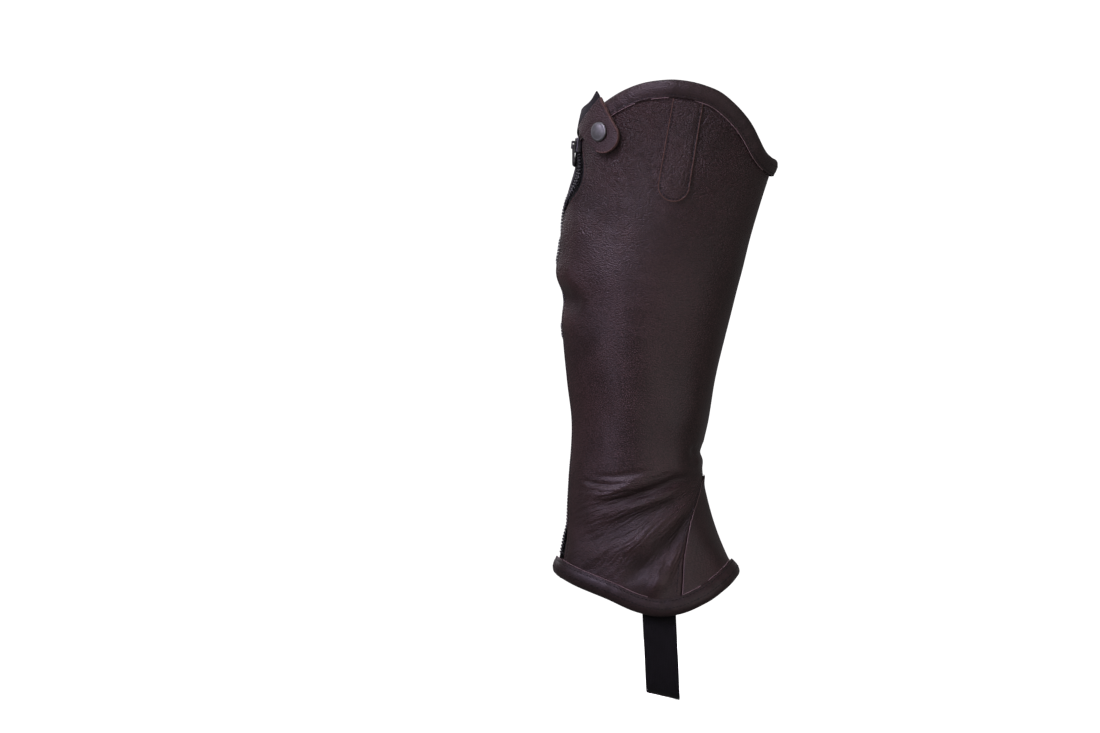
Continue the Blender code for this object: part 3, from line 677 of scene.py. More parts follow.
def edge_path(first, last, rows, count=500):
    angles = np.linspace(first, last, count)
    return np.stack([angles, rows(angles)], axis=-1)


def settle(share, left_edge, right_edge, low, high, across):
    """Angle and height of a panel's points whose edges are lines on the leg."""
    height = np.full_like(share, -100.0)
    for _ in range(8):
        left = left_edge(height)
        angle = between(left, right_edge(height), across)
        height = between(low(angle), high(angle), share)
    return angle, height


def wedge_angle(share):
    """Half the wedge's angle at a share of the leather's height."""
    return smooth(WEDGE, "half_angle", np.clip(1 - share / NOTCH_SHARE, 0, 1))


print("inner seam at the calf:", round(float(inner_seam(0.0))), "degrees round")

# %% [markdown]
# ## Cutting a piece of cloth
#
# Each soft piece starts as a flat grid, as cloth starts flat on the table. A function puts
# the grid on the leg, Solidify gives it its thickness inwards from the outer face, and a
# small Bevel rounds the cut edges. The grid's own lengths become a UV map in metres, so a
# weave keeps its size wherever the piece bends.

# %% Grids on the leg
def add_map(mesh, name, places):
    """A UV map that holds one place for each vertex."""
    loops = np.empty(len(mesh.loops), dtype=int)
    mesh.loops.foreach_get("vertex_index", loops)
    layer = mesh.uv_layers.new(name=name)
    layer.data.foreach_set("uv", places[loops].ravel())


def grid_object(name, columns, rows, where, levels=None):
    """An open grid whose points come from where(u, v), with a UV map in metres of cloth."""
    v_rows = np.linspace(0, 1, rows + 1) if levels is None else np.asarray(levels)
    u, v = np.meshgrid(np.linspace(0, 1, columns + 1), v_rows)
    points = where(u.ravel(), v.ravel())
    at = np.arange((columns + 1) * (rows + 1)).reshape(rows + 1, columns + 1)
    quads = np.stack([at[:-1, :-1], at[:-1, 1:], at[1:, 1:], at[1:, :-1]], axis=-1)
    mesh = bpy.data.meshes.new(name)
    mesh.from_pydata((points * MM).tolist(), [], quads.reshape(-1, 4).tolist())
    lattice = points.reshape(rows + 1, columns + 1, 3)
    across = np.linalg.norm(np.diff(lattice, axis=1), axis=2).cumsum(axis=1)
    along = np.linalg.norm(np.diff(lattice, axis=0), axis=2).cumsum(axis=0)
    across = np.concatenate([np.zeros((rows + 1, 1)), across], axis=1)
    across -= across[:, -1:] / 2
    along = np.concatenate([np.zeros((1, columns + 1)), along], axis=0)
    add_map(mesh, "cut", np.stack([across, along], axis=-1).reshape(-1, 2) * MM)
    mesh.shade_smooth()
    made = put(name, mesh)
    made["flat"] = (float(np.abs(across[:, -1] * 2).max()) * MM, float(along[-1].max()) * MM)
    return made


print("helpers:", [helper.__name__ for helper in (add_map, grid_object)])


# %% A wall for the sheet, and its body
def flat_area(made):
    """Area of an open sheet, in square metres."""
    return sum(face.area for face in made.data.polygons)


def thicken(made, thickness, edge):
    """Walls the sheet inwards; of three looks the second lines it, the third is its cut."""
    shell = made.modifiers.new("wall", "SOLIDIFY")
    shell.thickness = thickness * MM
    shell.offset = -1.0
    if len(made.data.materials) == 3:
        shell.material_offset = 1
        shell.material_offset_rim = 2
    rounding = made.modifiers.new("edge", "BEVEL")
    rounding.width = edge * MM
    rounding.segments = 2
    rounding.angle_limit = math.radians(60)
    rounding.material = -1


def finish_sheet(made, slot, node, looks, thickness, held, edge=0.35, flat=None, area=None):
    """Gives a sheet its looks and wall, sets it on the chap's body and hides its solid."""
    area = area or flat_area(made)
    flat = flat or tuple(made["flat"])
    for look in looks:
        made.data.materials.append(look)
    thicken(made, thickness, edge)
    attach(made, BODY)
    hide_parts(node)
    flat = (flat[0], max(flat[1], area / flat[0]))
    min(area, flat[0] * flat[1])
    print(made.name, "cut", [round(side * 1000) for side in flat], "mm,",
          round(area * 1e4), "cm2")
    return made


print("helpers:", [helper.__name__ for helper in (flat_area, thicken, finish_sheet)])

# %% [markdown]
# ## Grained leather
#
# The chap is full-grain cowhide, dyed a dark plum brown. Its grain is a net of small
# pebbles, a little wider than tall, that catch the light as specks. A Voronoi texture makes
# the pebbles, a noise squashed in height breaks them up, and two slow noises vary their
# depth and the dye. The base colour is painted lighter on the pebbles' tops and darker in
# the grooves between them, as painted shade. On the creased hide it is also painted lighter
# on the ridges of the folds and darker in their valleys, as painted light and shade. Down
# the leg the grain is worn flat, so a Map Range on the height takes it back, and the
# creased hide of the ankle gets some of it again. Fine lines run along the fan of folds
# there: a second UV map holds the direction and distance from the wedge's point, and a
# noise read on it follows the fan.

# %% Short ways to build a material
def link(tree, start, end):
    tree.links.new(start, end)


def object_places(tree):
    return tree.nodes.new("ShaderNodeTexCoord").outputs["Object"]


def own_map(tree, name):
    """One of the piece's own UV maps."""
    node = tree.nodes.new("ShaderNodeUVMap")
    node.uv_map = name
    return node.outputs["UV"]


def attribute(tree, name):
    """A number that each vertex of the piece holds."""
    node = tree.nodes.new("ShaderNodeAttribute")
    node.attribute_name = name
    return node.outputs["Fac"]


def texture(tree, kind, scale, vector, **values):
    node = tree.nodes.new(kind)
    node.inputs["Scale"].default_value = scale
    for name, value in values.items():
        if name in node.inputs.keys():
            node.inputs[name].default_value = value
        else:
            setattr(node, name, value)
    link(tree, vector, node.inputs["Vector"])
    return node


def math_node(tree, operation, first, second):
    node = tree.nodes.new("ShaderNodeMath")
    node.operation = operation
    for socket, value in zip(node.inputs, (first, second)):
        if isinstance(value, (int, float)):
            socket.default_value = value
        else:
            link(tree, value, socket)
    return node.outputs[0]


def shares(tree, base, *parts):
    """A base plus a share of each part; parts are (socket, share)."""
    total = base
    for socket, share in parts:
        total = math_node(tree, "ADD", total, math_node(tree, "MULTIPLY", socket, share))
    return total


def ramp(tree, value, stops):
    """A colour ramp; stops are (place, colour)."""
    node = tree.nodes.new("ShaderNodeValToRGB")
    bar = node.color_ramp
    while len(bar.elements) < len(stops):
        bar.elements.new(0.5)
    for element, (place, color) in zip(bar.elements, stops):
        element.position = place
        element.color = (*color, 1.0)
    link(tree, value, node.inputs["Fac"])
    return node.outputs["Color"]


def mapped(tree, source, scale):
    node = tree.nodes.new("ShaderNodeMapping")
    set_inputs(node, {"Scale": scale})
    link(tree, source, node.inputs["Vector"])
    return node.outputs["Vector"]


def bump(tree, height, strength, distance, below=None):
    node = tree.nodes.new("ShaderNodeBump")
    set_inputs(node, {"Strength": strength, "Distance": distance})
    link(tree, height, node.inputs["Height"])
    if below is not None:
        link(tree, below, node.inputs["Normal"])
    return node.outputs["Normal"]


print("helpers:", [helper.__name__ for helper in (
    link, object_places, own_map, attribute, texture, math_node, shares, ramp, mapped, bump)])

# %% The leathers
PEBBLES = 640.0
GRAIN_DEPTH = 0.00048
CREASE_DEPTH = 0.0006
GRAIN_BY_HEIGHT = {"From Min": -0.115, "From Max": 0.11, "To Min": 0.14, "To Max": 1.6}


def grain_share(tree, coords):
    """How strong the grain is at a height: low at the ankle, full at the top edge."""
    place = tree.nodes.new("ShaderNodeSeparateXYZ")
    link(tree, coords, place.inputs["Vector"])
    fade = tree.nodes.new("ShaderNodeMapRange")
    fade.interpolation_type = "SMOOTHSTEP"
    set_inputs(fade, GRAIN_BY_HEIGHT)
    link(tree, place.outputs["Z"], fade.inputs["Value"])
    return fade.outputs["Result"]


def crease_lines(tree):
    """Sharp little valleys where a noise on the fan crosses its middle value."""
    lines = texture(tree, "ShaderNodeTexNoise", 1.0,
                    mapped(tree, own_map(tree, "fan"), (30.0, 24.0, 1.0)),
                    Detail=1.2, Roughness=0.5, Distortion=0.08)
    off_middle = math_node(tree, "ABSOLUTE", math_node(
        tree, "SUBTRACT", lines.outputs["Fac"], 0.5), 0.0)
    return math_node(tree, "MINIMUM", math_node(tree, "MULTIPLY", off_middle, 5.0), 1.0)


def leather_material(name, dark, light, grain=1.0, creased=False, shine=0.4):
    """Pebbled hide; a creased one also reads the crumple and rise of its vertices."""
    made, tree, shader = new_material(name, light, shine)
    coords = object_places(tree)
    pebble = texture(tree, "ShaderNodeTexVoronoi", PEBBLES,
                     mapped(tree, coords, (1.0, 1.0, 1.8)), Randomness=1.0,
                     feature="SMOOTH_F1", Smoothness=0.3)
    breaks, cloud, blotch = [
        texture(tree, "ShaderNodeTexNoise", scale, places, Detail=detail).outputs["Fac"]
        for scale, places, detail in ((420.0, mapped(tree, coords, (1.0, 1.0, 2.6)), 1.0),
                                      (22.0, coords, 4.0), (60.0, coords, 2.0))]
    top = math_node(tree, "SUBTRACT", 1.0,
                    math_node(tree, "MULTIPLY", pebble.outputs["Distance"], 1.5))
    height = math_node(tree, "MULTIPLY", shares(tree, top, (breaks, 0.5)),
                       shares(tree, 0.65, (blotch, 0.7)))
    depth = grain_share(tree, coords)
    # dye from two slow noises; the pebbles' tops painted lighter and their grooves darker, as
    # painted shade
    tones = [(cloud, 0.4), (blotch, 0.3), (top, 0.3)]
    dullness = [(blotch, 0.2)]
    if creased:
        crumpled, risen = attribute(tree, "crumple"), attribute(tree, "rise")
        depth = shares(tree, depth, (crumpled, 0.35))
        # painted light and shade: the ridges of the folds lighter, their valleys darker
        tones += [(risen, 0.16)]
        dullness += [(risen, -0.10), (crumpled, 0.10)]
    normal = bump(tree, math_node(tree, "MULTIPLY", height, depth), grain, GRAIN_DEPTH)
    if creased:
        deep = math_node(tree, "MULTIPLY", crease_lines(tree), crumpled)
        normal = bump(tree, deep, 1.0, CREASE_DEPTH, normal)
    link(tree, normal, shader.inputs["Normal"])
    link(tree, ramp(tree, shares(tree, 0.0, *tones), [(0.3, dark), (0.75, light)]),
         shader.inputs["Base Color"])
    link(tree, shares(tree, shine - 0.1, *dullness), shader.inputs["Roughness"])
    set_inputs(shader, {"Specular IOR Level": 0.5})
    return made


leather = leather_material("grained_leather", (0.020, 0.0098, 0.0094), (0.056, 0.0280, 0.027),
                           creased=True)
patch_leather = leather_material("patch_leather", (0.020, 0.0098, 0.0094),
                                 (0.057, 0.0287, 0.0277), grain=0.9)
trim_leather = leather_material("band_leather", (0.016, 0.0078, 0.0076), (0.042, 0.0210, 0.0205),
                                grain=0.4, shine=0.44)
tab_leather = leather_material("tab_leather", (0.028, 0.0150, 0.0150), (0.058, 0.0320, 0.033),
                               grain=0.5, shine=0.44)
print("leathers:", [look.name for look in (leather, patch_leather, trim_leather, tab_leather)])

# %% [markdown]
# ### Suede and cut edges
#
# Inside, the hide shows its flesh side, a matt suede. Its cut edges are raw fibres, pale
# where they are left bare and dark where they are dyed. Both could be painted by hand, but
# one noise is enough to give such a finish two tones and a low relief.

# %% Cut edges and the flesh side
def two_tone(made, tree, shader, dark, light, relief, scale, **noise):
    """Two colours and a low relief, (strength, depth), from one noise."""
    tone = texture(tree, "ShaderNodeTexNoise", scale, object_places(tree), **noise).outputs["Fac"]
    link(tree, ramp(tree, tone, [(0.3, dark), (0.7, light)]), shader.inputs["Base Color"])
    link(tree, bump(tree, tone, *relief), shader.inputs["Normal"])
    return made


def fibre_material(name, dark, light, scale):
    """Suede or a raw cut edge: matt fibres in two tones."""
    parts = new_material(name, light, 0.92)
    set_inputs(parts[2], {"Specular IOR Level": 0.2})
    return two_tone(*parts, dark, light, (0.5, 0.0004), scale, Detail=6.0, Roughness=0.7)


suede = fibre_material("flesh_side", (0.035, 0.021, 0.018), (0.062, 0.040, 0.034), 700.0)
tan_edge = fibre_material("tan_edge", (0.070, 0.040, 0.034), (0.17, 0.103, 0.088), 1500.0)
dark_edge = fibre_material("dark_edge", (0.018, 0.010, 0.010), (0.034, 0.020, 0.019), 1500.0)
print("edges:", suede.name, tan_edge.name, dark_edge.name)

# %% [markdown]
# ## The leather panel
#
# One cut goes from the zip round the outer side and the shin to the elastic, with a notch
# over the instep. The grid is fine enough, under 2 mm, for the creases to be real shape.
# The back edge is turned under: the outer face curls in over its last millimetre or two,
# and the row of stitches beside it pulls a shallow groove.

# %% Panel shape
EDGE_ROLL = 1.5
ZIP_COVER = 1.1
STITCH_INSET = 3.2
CALM_EDGE = 14.0


def wander(angle, height):
    """Slow, shallow unevenness that keeps the calf from looking turned on a lathe."""
    turn = np.radians(angle)
    return (0.35 * np.sin(2.1 * turn + height / 37.0) * np.sin(height / 61.0 + 1.3)
            + 0.22 * np.sin(5.3 * turn - height / 23.0 + 0.8)
            + 0.12 * np.sin(11.0 * turn + height / 11.0))


def turned_edge(away):
    """How far a folded edge drops at a distance from it, with its stitched groove."""
    roll = np.clip(1 - away / EDGE_ROLL, 0, 1)
    groove = np.exp(-((away - STITCH_INSET) / 0.9) ** 2)
    return -0.9 * (1 - np.sqrt(np.clip(1 - roll ** 2, 0, 1))) - 0.28 * groove


def leather_face(angle, height, lift, away, calm):
    """The panel's outer face: its relief fades towards the bands and the wedge."""
    out = fold_depth(angle, height, FINE_FOLDS) + crease_depth(angle, height, ANKLE_CREASES)
    quiet = (np.clip((top(angle) - height) / CALM_EDGE, 0, 1)
             * np.clip((height - hem(angle)) / CALM_EDGE, 0, 1))
    out = (out + wander(angle, height) + crumple(angle, height)) * quiet * calm
    return skin(angle, height, out + lift + turned_edge(away))


print("a turned edge drops", -round(float(turned_edge(np.zeros(1))[0]), 1), "mm")


# %% The two halves of the panel
def panel_half(side):
    """where(u, v) for the outer (1) or inner (-1) half of the panel."""
    def where(u, v):
        if side > 0:
            angle, height = settle(v, lambda level: zip_side(-ZIP_OPENING, level),
                                   lambda level: 180 - wedge_angle(v), hem, top, u)
            edge = zip_side(-ZIP_OPENING, height)
        else:
            angle, height = settle(v, lambda level: 180 + wedge_angle(v), inner_seam,
                                   hem, top, u)
            edge = inner_seam(height)
        away = np.abs(length_around(angle, height) - length_around(edge, height))
        from_wedge = 0.9 * (np.abs(180 - angle) - wedge_angle(v))
        above_notch = np.clip((v - NOTCH_SHARE) / 0.03, 0, 1)
        calm = np.maximum(np.clip(from_wedge / 9, 0, 1), above_notch)
        seam = -0.4 * np.clip(1 - from_wedge, 0, 1) ** 2 * (v < NOTCH_SHARE)
        if side < 0:
            return leather_face(angle, height, seam, away + 6, calm)
        covers = np.clip((-6 - height) / 14, 0, 1) * np.clip((height + 250) / 20, 0, 1)
        cover = ZIP_COVER * covers * np.exp(-(away / 9.0) ** 2)
        return leather_face(angle, height, seam + cover, away, calm)
    return where


def fan_layer(made, creased=1.0):
    """Adds the fan UV map and the crumple share, both measured from the wedge's point."""
    mesh = made.data
    points = np.empty(len(mesh.vertices) * 3)
    mesh.vertices.foreach_get("co", points)
    angle, height = place_of(points.reshape(-1, 3) / MM)
    side = np.where(angle < 180, 1.0, -1.0)
    reach, spread = fan_place(angle, height)
    add_map(mesh, "fan", np.stack([side * reach / 1000, spread], axis=-1))
    # the rise, -1 in a valley to 1 on a ridge, is painted light and shade in the leather's colour
    rise = crease_depth(angle, height, ANKLE_CREASES) + fold_depth(angle, height, MAIN_FOLDS)
    for label, values in (("crumple", creased * crumple_share(angle, height)
                           * np.where(angle < 180, 1.0, 0.4)),
                          ("rise", np.clip(rise / 2.5, -1, 1))):
        point_layer = mesh.attributes.new(label, "FLOAT", "POINT")
        point_layer.data.foreach_set("value", values)


print("the panel's halves meet on the shin above", round(NOTCH_SHARE * 100), "% of its height")

# %% Panel mesh
PANEL_FLAT = (0.325, 0.415)


def make_leather_panel():
    levels = np.concatenate([np.linspace(0, NOTCH_SHARE, 83),
                             np.linspace(NOTCH_SHARE, 0.33, 29)[1:],
                             np.linspace(0.33, 1, 96)[1:]])
    halves = [grid_object("panel_half", columns, len(levels) - 1, panel_half(side), levels)
              for columns, side in ((126, 1), (62, -1))]
    data = bmesh.new()
    for half in halves:
        data.from_mesh(half.data)
        bpy.data.objects.remove(half)
    bmesh.ops.remove_doubles(data, verts=data.verts, dist=0.01 * MM)
    made = put("leather_panel_skin", stored_mesh("leather_panel_skin", data))
    fan_layer(made)
    return finish_sheet(made, "leather", "leather_panel", [leather, suede, dark_edge],
                        LEATHER, "stretched", flat=PANEL_FLAT)


panel = make_leather_panel()

# %% [markdown]
# ## The wedge over the instep
#
# A curved wedge of the same leather fills the notch, so the chap can open out over the
# boot. It is seamed to the panel, and its point stands a little proud of the seam.

# %% Wedge
WEDGE_TUCK = 0.75
WEDGE_DROP = 2.3


def make_wedge():
    rows = 54
    levels = 0.97 * NOTCH_SHARE * np.linspace(0, 1, rows + 1)

    def where(u, v):
        near_point = np.exp(-((levels[-1] - v) / 0.015) ** 2)
        u = 0.3 * u + 0.35 * (1 - np.cos(math.pi * u))
        half = wedge_angle(v) + WEDGE_TUCK - (WEDGE_TUCK + 0.95) * near_point
        angle = 180 + (2 * u - 1) * half
        height = between(hem(angle), top(angle), v)
        away = np.minimum(u, 1 - u) * 2 * half * 0.9
        dents = 0.5 * np.sin((angle - 180) / 9.0 + height / 13.0) * np.clip(away / 12, 0, 1)
        under = np.clip((2.1 - away) / 1.3, 0, 1)
        drop = WEDGE_DROP * under ** 2 * (3 - 2 * under) * (1 - near_point)
        return skin(angle, height, 1.6 * near_point + dents - drop)

    made = grid_object("ankle_wedge", 84, rows, where, levels)
    fan_layer(made, 0.15)
    return finish_sheet(made, "leather", "ankle_gusset", [leather, suede, dark_edge],
                        LEATHER, "stretched")


wedge = make_wedge()

# %% [markdown]
# ## The tongue patch
#
# A long tongue of leather is sewn on the outer side below the top edge. Its raw cut edge is
# left tan, and a row of stitches runs just inside it.

# %% Patch
PATCH_TOP = (22.9, 91.6)
PATCH_FOOT = (9.7, 13.9)
PATCH_WIDTH = 24.6
PATCH_LENGTH = math.dist(PATCH_TOP, PATCH_FOOT)


def patch_spot(gone, across):
    """Angle and height of a place down the patch and across it, in millimetres."""
    first, last = np.array(PATCH_TOP), np.array(PATCH_FOOT)
    heading = (last - first) / np.linalg.norm(last - first)
    right = np.array([-heading[1], heading[0]])
    spot = first + gone[:, None] * heading + across[:, None] * right
    height = spot[:, 1]
    back, middle, shin, _ = section(height)
    ahead = np.where(spot[:, 0] < middle, middle - back, shin - middle)
    return np.degrees(np.arccos((middle - spot[:, 0]) / ahead)), height


def patch_half_width(gone, inset=0.0):
    half = PATCH_WIDTH / 2 - inset
    past = np.clip((gone - (PATCH_LENGTH - PATCH_WIDTH / 2)) / half, 0, 0.9995)
    return half * np.sqrt(1 - past ** 2)


def make_patch():
    def where(u, v):
        gone = PATCH_LENGTH * v
        reach = patch_half_width(gone) - 0.6 * (1 - v)
        across = (1 - 2 * u) * reach
        angle, height = patch_spot(gone, across)
        away = np.minimum(reach - np.abs(across), PATCH_LENGTH - gone)
        groove = -0.55 * np.exp(-((away - 1.9) / 0.7) ** 2)
        buckle = 0.25 * np.sin(gone / 3.1) * np.exp(-((gone - 6) / 9) ** 2)
        return skin(angle, height, LAID_ON + TRIM + groove + buckle)

    levels = 1 - (1 - np.linspace(0, 1, 73)) ** 1.6
    made = grid_object("patch", 30, 72, where, levels)
    return finish_sheet(made, "leather", "tongue_patch", [patch_leather, suede, tan_edge],
                        TRIM, "laid", edge=0.2)


patch = make_patch()

# %% [markdown]
# ## Bands on the top edge and the hem
#
# Strips of thinner leather are folded over both edges and sewn through, so they look like a
# soft roll with a stitched step below it. The band is one grid: its short side is the
# cross-section of the fold, its long side follows the edge. Between the stitches the
# leather puffs up a little, and along its length it puckers softly.

# %% Bands
THREAD_PITCH = 3.0
TRIM_LOOKS = [trim_leather, suede, dark_edge]


def band_spots(path, share, over):
    angle, height = alongside(path, share, over)
    ends = np.exp(-(share / 0.03) ** 2) + np.exp(-((1 - share) / 0.03) ** 2)
    straight = np.interp(share, np.linspace(0, 1, len(path)), path[:, 0])
    return between(angle, angle + (straight - angle + 180) % 360 - 180, ends), height


def fold_curve(profile, count):
    """A rounded line through a band's cross-section."""
    rows = table("knot over out", [(knot, *point) for knot, point in enumerate(profile)])
    at = np.linspace(0, len(profile) - 1, count)
    return smooth(rows, "over", at), smooth(rows, "out", at)


def make_band(name, node, path, profile, seam_over, flare=None):
    """A strip folded over an edge; seam_over is where its stitches pull it down."""
    count = 26
    over, out = fold_curve(profile, count + 1)
    length = path_lengths(path)[1][-1]

    def where(u, v):
        row = v * count
        rise = np.interp(row, np.arange(count + 1), over)
        reach = np.interp(row, np.arange(count + 1), out)
        angle, height = band_spots(path, u, rise)
        if flare is not None:
            reach = reach + flare(angle) * np.clip(reach, 0, 2) / 2
        outside = np.clip(reach / 1.5, 0, 1)
        groove = np.exp(-((rise - seam_over) / 1.0) ** 2)
        pull = 0.75 + 0.25 * np.cos(math.tau * u * length / THREAD_PITCH)
        pucker = 0.16 * np.sin(u * length / 2.3 + 1.7 * np.sin(u * length / 9.0))
        uneven = 0.18 * np.sin(u * length / 17.0) + pucker * np.clip(1 - groove, 0, 1)
        return skin(angle, height, reach + outside * (uneven - 0.4 * groove * pull))

    made = grid_object(name, 300, count, where)
    area = flat_area(made)
    return finish_sheet(made, "trim_leather", node, TRIM_LOOKS, TRIM, "folded", edge=0.3,
                        flat=(length * MM, area / (length * MM)), area=area)


print("a stitch for every", THREAD_PITCH, "mm of a band")

# %% The two bands
TOP_PROFILE = [(-BAND, 1.9), (-7.5, 2.5), (-3.6, 2.9), (-0.4, 2.3), (2.2, 0.9),
               (BAND_FOLD, -1.6), (0.3, -3.7), (-7.0, -3.9)]
HEM_PROFILE = [(7.5, -3.9), (1.0, -3.8), (-1.8, -2.9), (-BAND_FOLD, 0.0), (-0.6, 2.2),
               (3.0, 3.2), (7.0, 2.9), (HEM_BAND, 1.9)]


def top_band_path():
    height = np.array([72.0, 80.0])
    start = zip_side(-ZIP_OPENING, height)[0]
    stop = inner_seam(height, ELASTIC_WIDTH + SEAM_STRIP / 2 + 4 * SEAM_GAP)[1]
    return edge_path(start, stop, top)


def hem_band_path():
    height = np.array([-277.0, -297.0])
    start = angle_around(1.0, height[:1])[0]
    stop = inner_seam(height, ELASTIC_WIDTH - SEAM_STRIP / 2)[1]
    return edge_path(start, stop, hem)


def top_flare(angle):
    knob = 1.8 * np.exp(-((angle - 174) / 9) ** 2)
    return knob - 0.5 * np.exp(-((angle - 17) / 22) ** 2)


top_path, hem_path = top_band_path(), hem_band_path()
top_band = make_band("top_band", "top_binding", top_path, TOP_PROFILE, -9.0, top_flare)
hem_band = make_band("hem_band", "hem_binding", hem_path, HEM_PROFILE, 9.2)

# %% [markdown]
# ## Elastic and its seam
#
# A wide black elastic closes the inner side and lets the chap stretch over the calf. Woven
# elastic shows fine cords along its length and short threads across them. Both come from
# wave textures on the cut's own UV map, so they follow the piece. Its top end is folded
# over and sewn, and the leather's edge is folded over its long side.

# %% Woven elastic
# at scale 1 a wave texture has 20 bands over a length of tau
WAVE_BANDS = 20


def woven_material(name, dark, light, cord, pick, depth):
    """Cords along the piece every cord millimetres, threads across every pick."""
    made, tree, shader = new_material(name, light, 0.88)
    cut = own_map(tree, "cut")
    cords, picks = [
        texture(tree, "ShaderNodeTexWave", 1.0 / (pitch * MM) * math.tau / WAVE_BANDS, cut,
                bands_direction=direction, Distortion=uneven,
                **{"Detail Scale": fineness}).outputs["Fac"]
        for direction, pitch, uneven, fineness in (("X", cord, 0.6, 2.0), ("Y", pick, 0.8, 1.0))]
    fuzz = texture(tree, "ShaderNodeTexNoise", 900.0, cut, Detail=3.0).outputs["Fac"]
    weave = shares(tree, 0.0, (cords, 0.5), (picks, 0.35), (fuzz, 0.3))
    link(tree, ramp(tree, weave, [(0.2, dark), (0.95, light)]), shader.inputs["Base Color"])
    link(tree, bump(tree, weave, 0.6, depth), shader.inputs["Normal"])
    set_inputs(shader, {"Sheen Weight": 0.12, "Sheen Roughness": 0.5,
                        "Specular IOR Level": 0.3})
    return made


elastic = woven_material("woven_elastic", (0.004, 0.004, 0.0055), (0.013, 0.013, 0.017),
                         1.1, 0.8, 0.0003)
webbing = woven_material("strap_webbing", (0.0025, 0.0025, 0.0038), (0.0062, 0.0062, 0.0088),
                         1.3, 1.0, 0.0003)
zip_cloth = woven_material("zip_tape_weave", (0.004, 0.004, 0.005), (0.013, 0.013, 0.015),
                           0.9, 0.7, 0.0002)
print("weaves:", elastic.name, webbing.name, zip_cloth.name)


# %% Elastic panel, its folded top and the seam strip
def make_elastic():
    def where(u, v):
        angle, height = settle(
            v, lambda level: inner_seam(level, ELASTIC_WIDTH - 2.5 * SEAM_GAP),
            lambda level: 360 + zip_side(ZIP_OPENING, level), hem, elastic_top, u)
        return skin(angle, height, -ELASTIC_BELOW)

    made = grid_object("elastic_side", 36, 180, where)
    finish_sheet(made, "elastic", "elastic_panel", [elastic], ELASTIC, "stretched", edge=0.2)


def make_elastic_fold():
    def where(u, v):
        angle, height = settle(
            v, lambda level: inner_seam(level, ELASTIC_WIDTH - SEAM_STRIP / 2 - 2 * SEAM_GAP),
            lambda level: 360 + zip_side(ZIP_OPENING, level),
            lambda angle: elastic_top(angle) - TOP_HEM, elastic_top, u)
        over = TOP_HEM * (1 - v)
        roll = -0.7 * np.clip(1 - over / 1.2, 0, 1) ** 2
        stitched = -0.25 * (np.exp(-((over - 17.5) / 0.8) ** 2)
                            + np.exp(-((over - 2.5) / 0.8) ** 2))
        return skin(angle, height, 0.9 + roll + stitched)

    made = grid_object("elastic_fold", 36, 30, where)
    finish_sheet(made, "elastic", "elastic_top_hem", [elastic], FOLDED_ELASTIC, "folded",
                 edge=0.2)


def make_seam_strip():
    def where(u, v):
        half = SEAM_STRIP / 2
        angle, height = settle(
            v, lambda level: inner_seam(level, ELASTIC_WIDTH + half),
            lambda level: inner_seam(level, ELASTIC_WIDTH - half),
            lambda angle: hem(angle) + HEM_BAND + 1.6, top, u)
        over = SEAM_STRIP * u
        raised = 0.6 + 0.4 * np.sin(math.pi * u)
        grooves = np.exp(-((over - 1.6) / 0.7) ** 2) + np.exp(-((over - 7.4) / 0.7) ** 2)
        pull = 0.75 + 0.25 * np.cos(math.tau * height / THREAD_PITCH)
        uneven = 0.14 * np.sin(height / 2.1 + 2 * np.sin(height / 13.0))
        return skin(angle, height, TRIM + raised + uneven - 0.3 * grooves * pull)

    made = grid_object("seam_strip", 14, 300, where)
    return finish_sheet(made, "trim_leather", "inner_seam_strip", TRIM_LOOKS, TRIM,
                        "folded", edge=0.3)


make_elastic()
make_elastic_fold()
seam_strip = make_seam_strip()

# %% [markdown]
# ## The zip
#
# A tape lies under each edge of the opening, and the closed chain runs up the middle. Its
# teeth are one small shape repeated hundreds of times: each comes from the other tape, so
# every second one is turned round. A Geometry Nodes tree walks along the zip's line and
# sets them, so the pitch is one number.

# %% Zip tapes
ZIP_FOOT = float(hem(np.array([4.0]))[0] + HEM_BAND + 1.2)
TAPE_REACH = 12.5
SLIDER_HEIGHT = 58.0
SLIDER_LENGTH = 12.0
CHAIN_TOP = SLIDER_HEIGHT - SLIDER_LENGTH / 2 - SEAM_GAP


def strip_by_zip(low, high, left_side, right_side, out):
    """where(u, v) for a strip that runs beside the zip between two heights."""
    path = zip_path()
    path = path[(path[:, 1] >= low) & (path[:, 1] <= high)]

    def where(u, v):
        over = out(u) if callable(out) else out
        return skin(*alongside(path, v, between(left_side, right_side, u)), over)

    return where


def make_tape(name, node, near, far):
    made = grid_object(name, 10, 260, strip_by_zip(ZIP_FOOT, 62.0, near, far, -LEATHER - 1.5))
    finish_sheet(made, "zip_tape", node, [zip_cloth], TAPE, "stretched", edge=0.15)


make_tape("tape_inner", "zip_tape_inner", TAPE_REACH, SEAM_GAP)
make_tape("tape_outer", "zip_tape_outer", -SEAM_GAP, -TAPE_REACH)

# %% [markdown]
# ### A node tree that walks a line
#
# Stitches and teeth both follow a line on the leg and stand on its surface. One mesh of
# edges holds the line, with the outward direction stored at each point. The tree turns it
# into a curve, resamples it at the pitch, sets an instance on each point, and turns the
# instance so that its X follows the line and its Z points outwards.

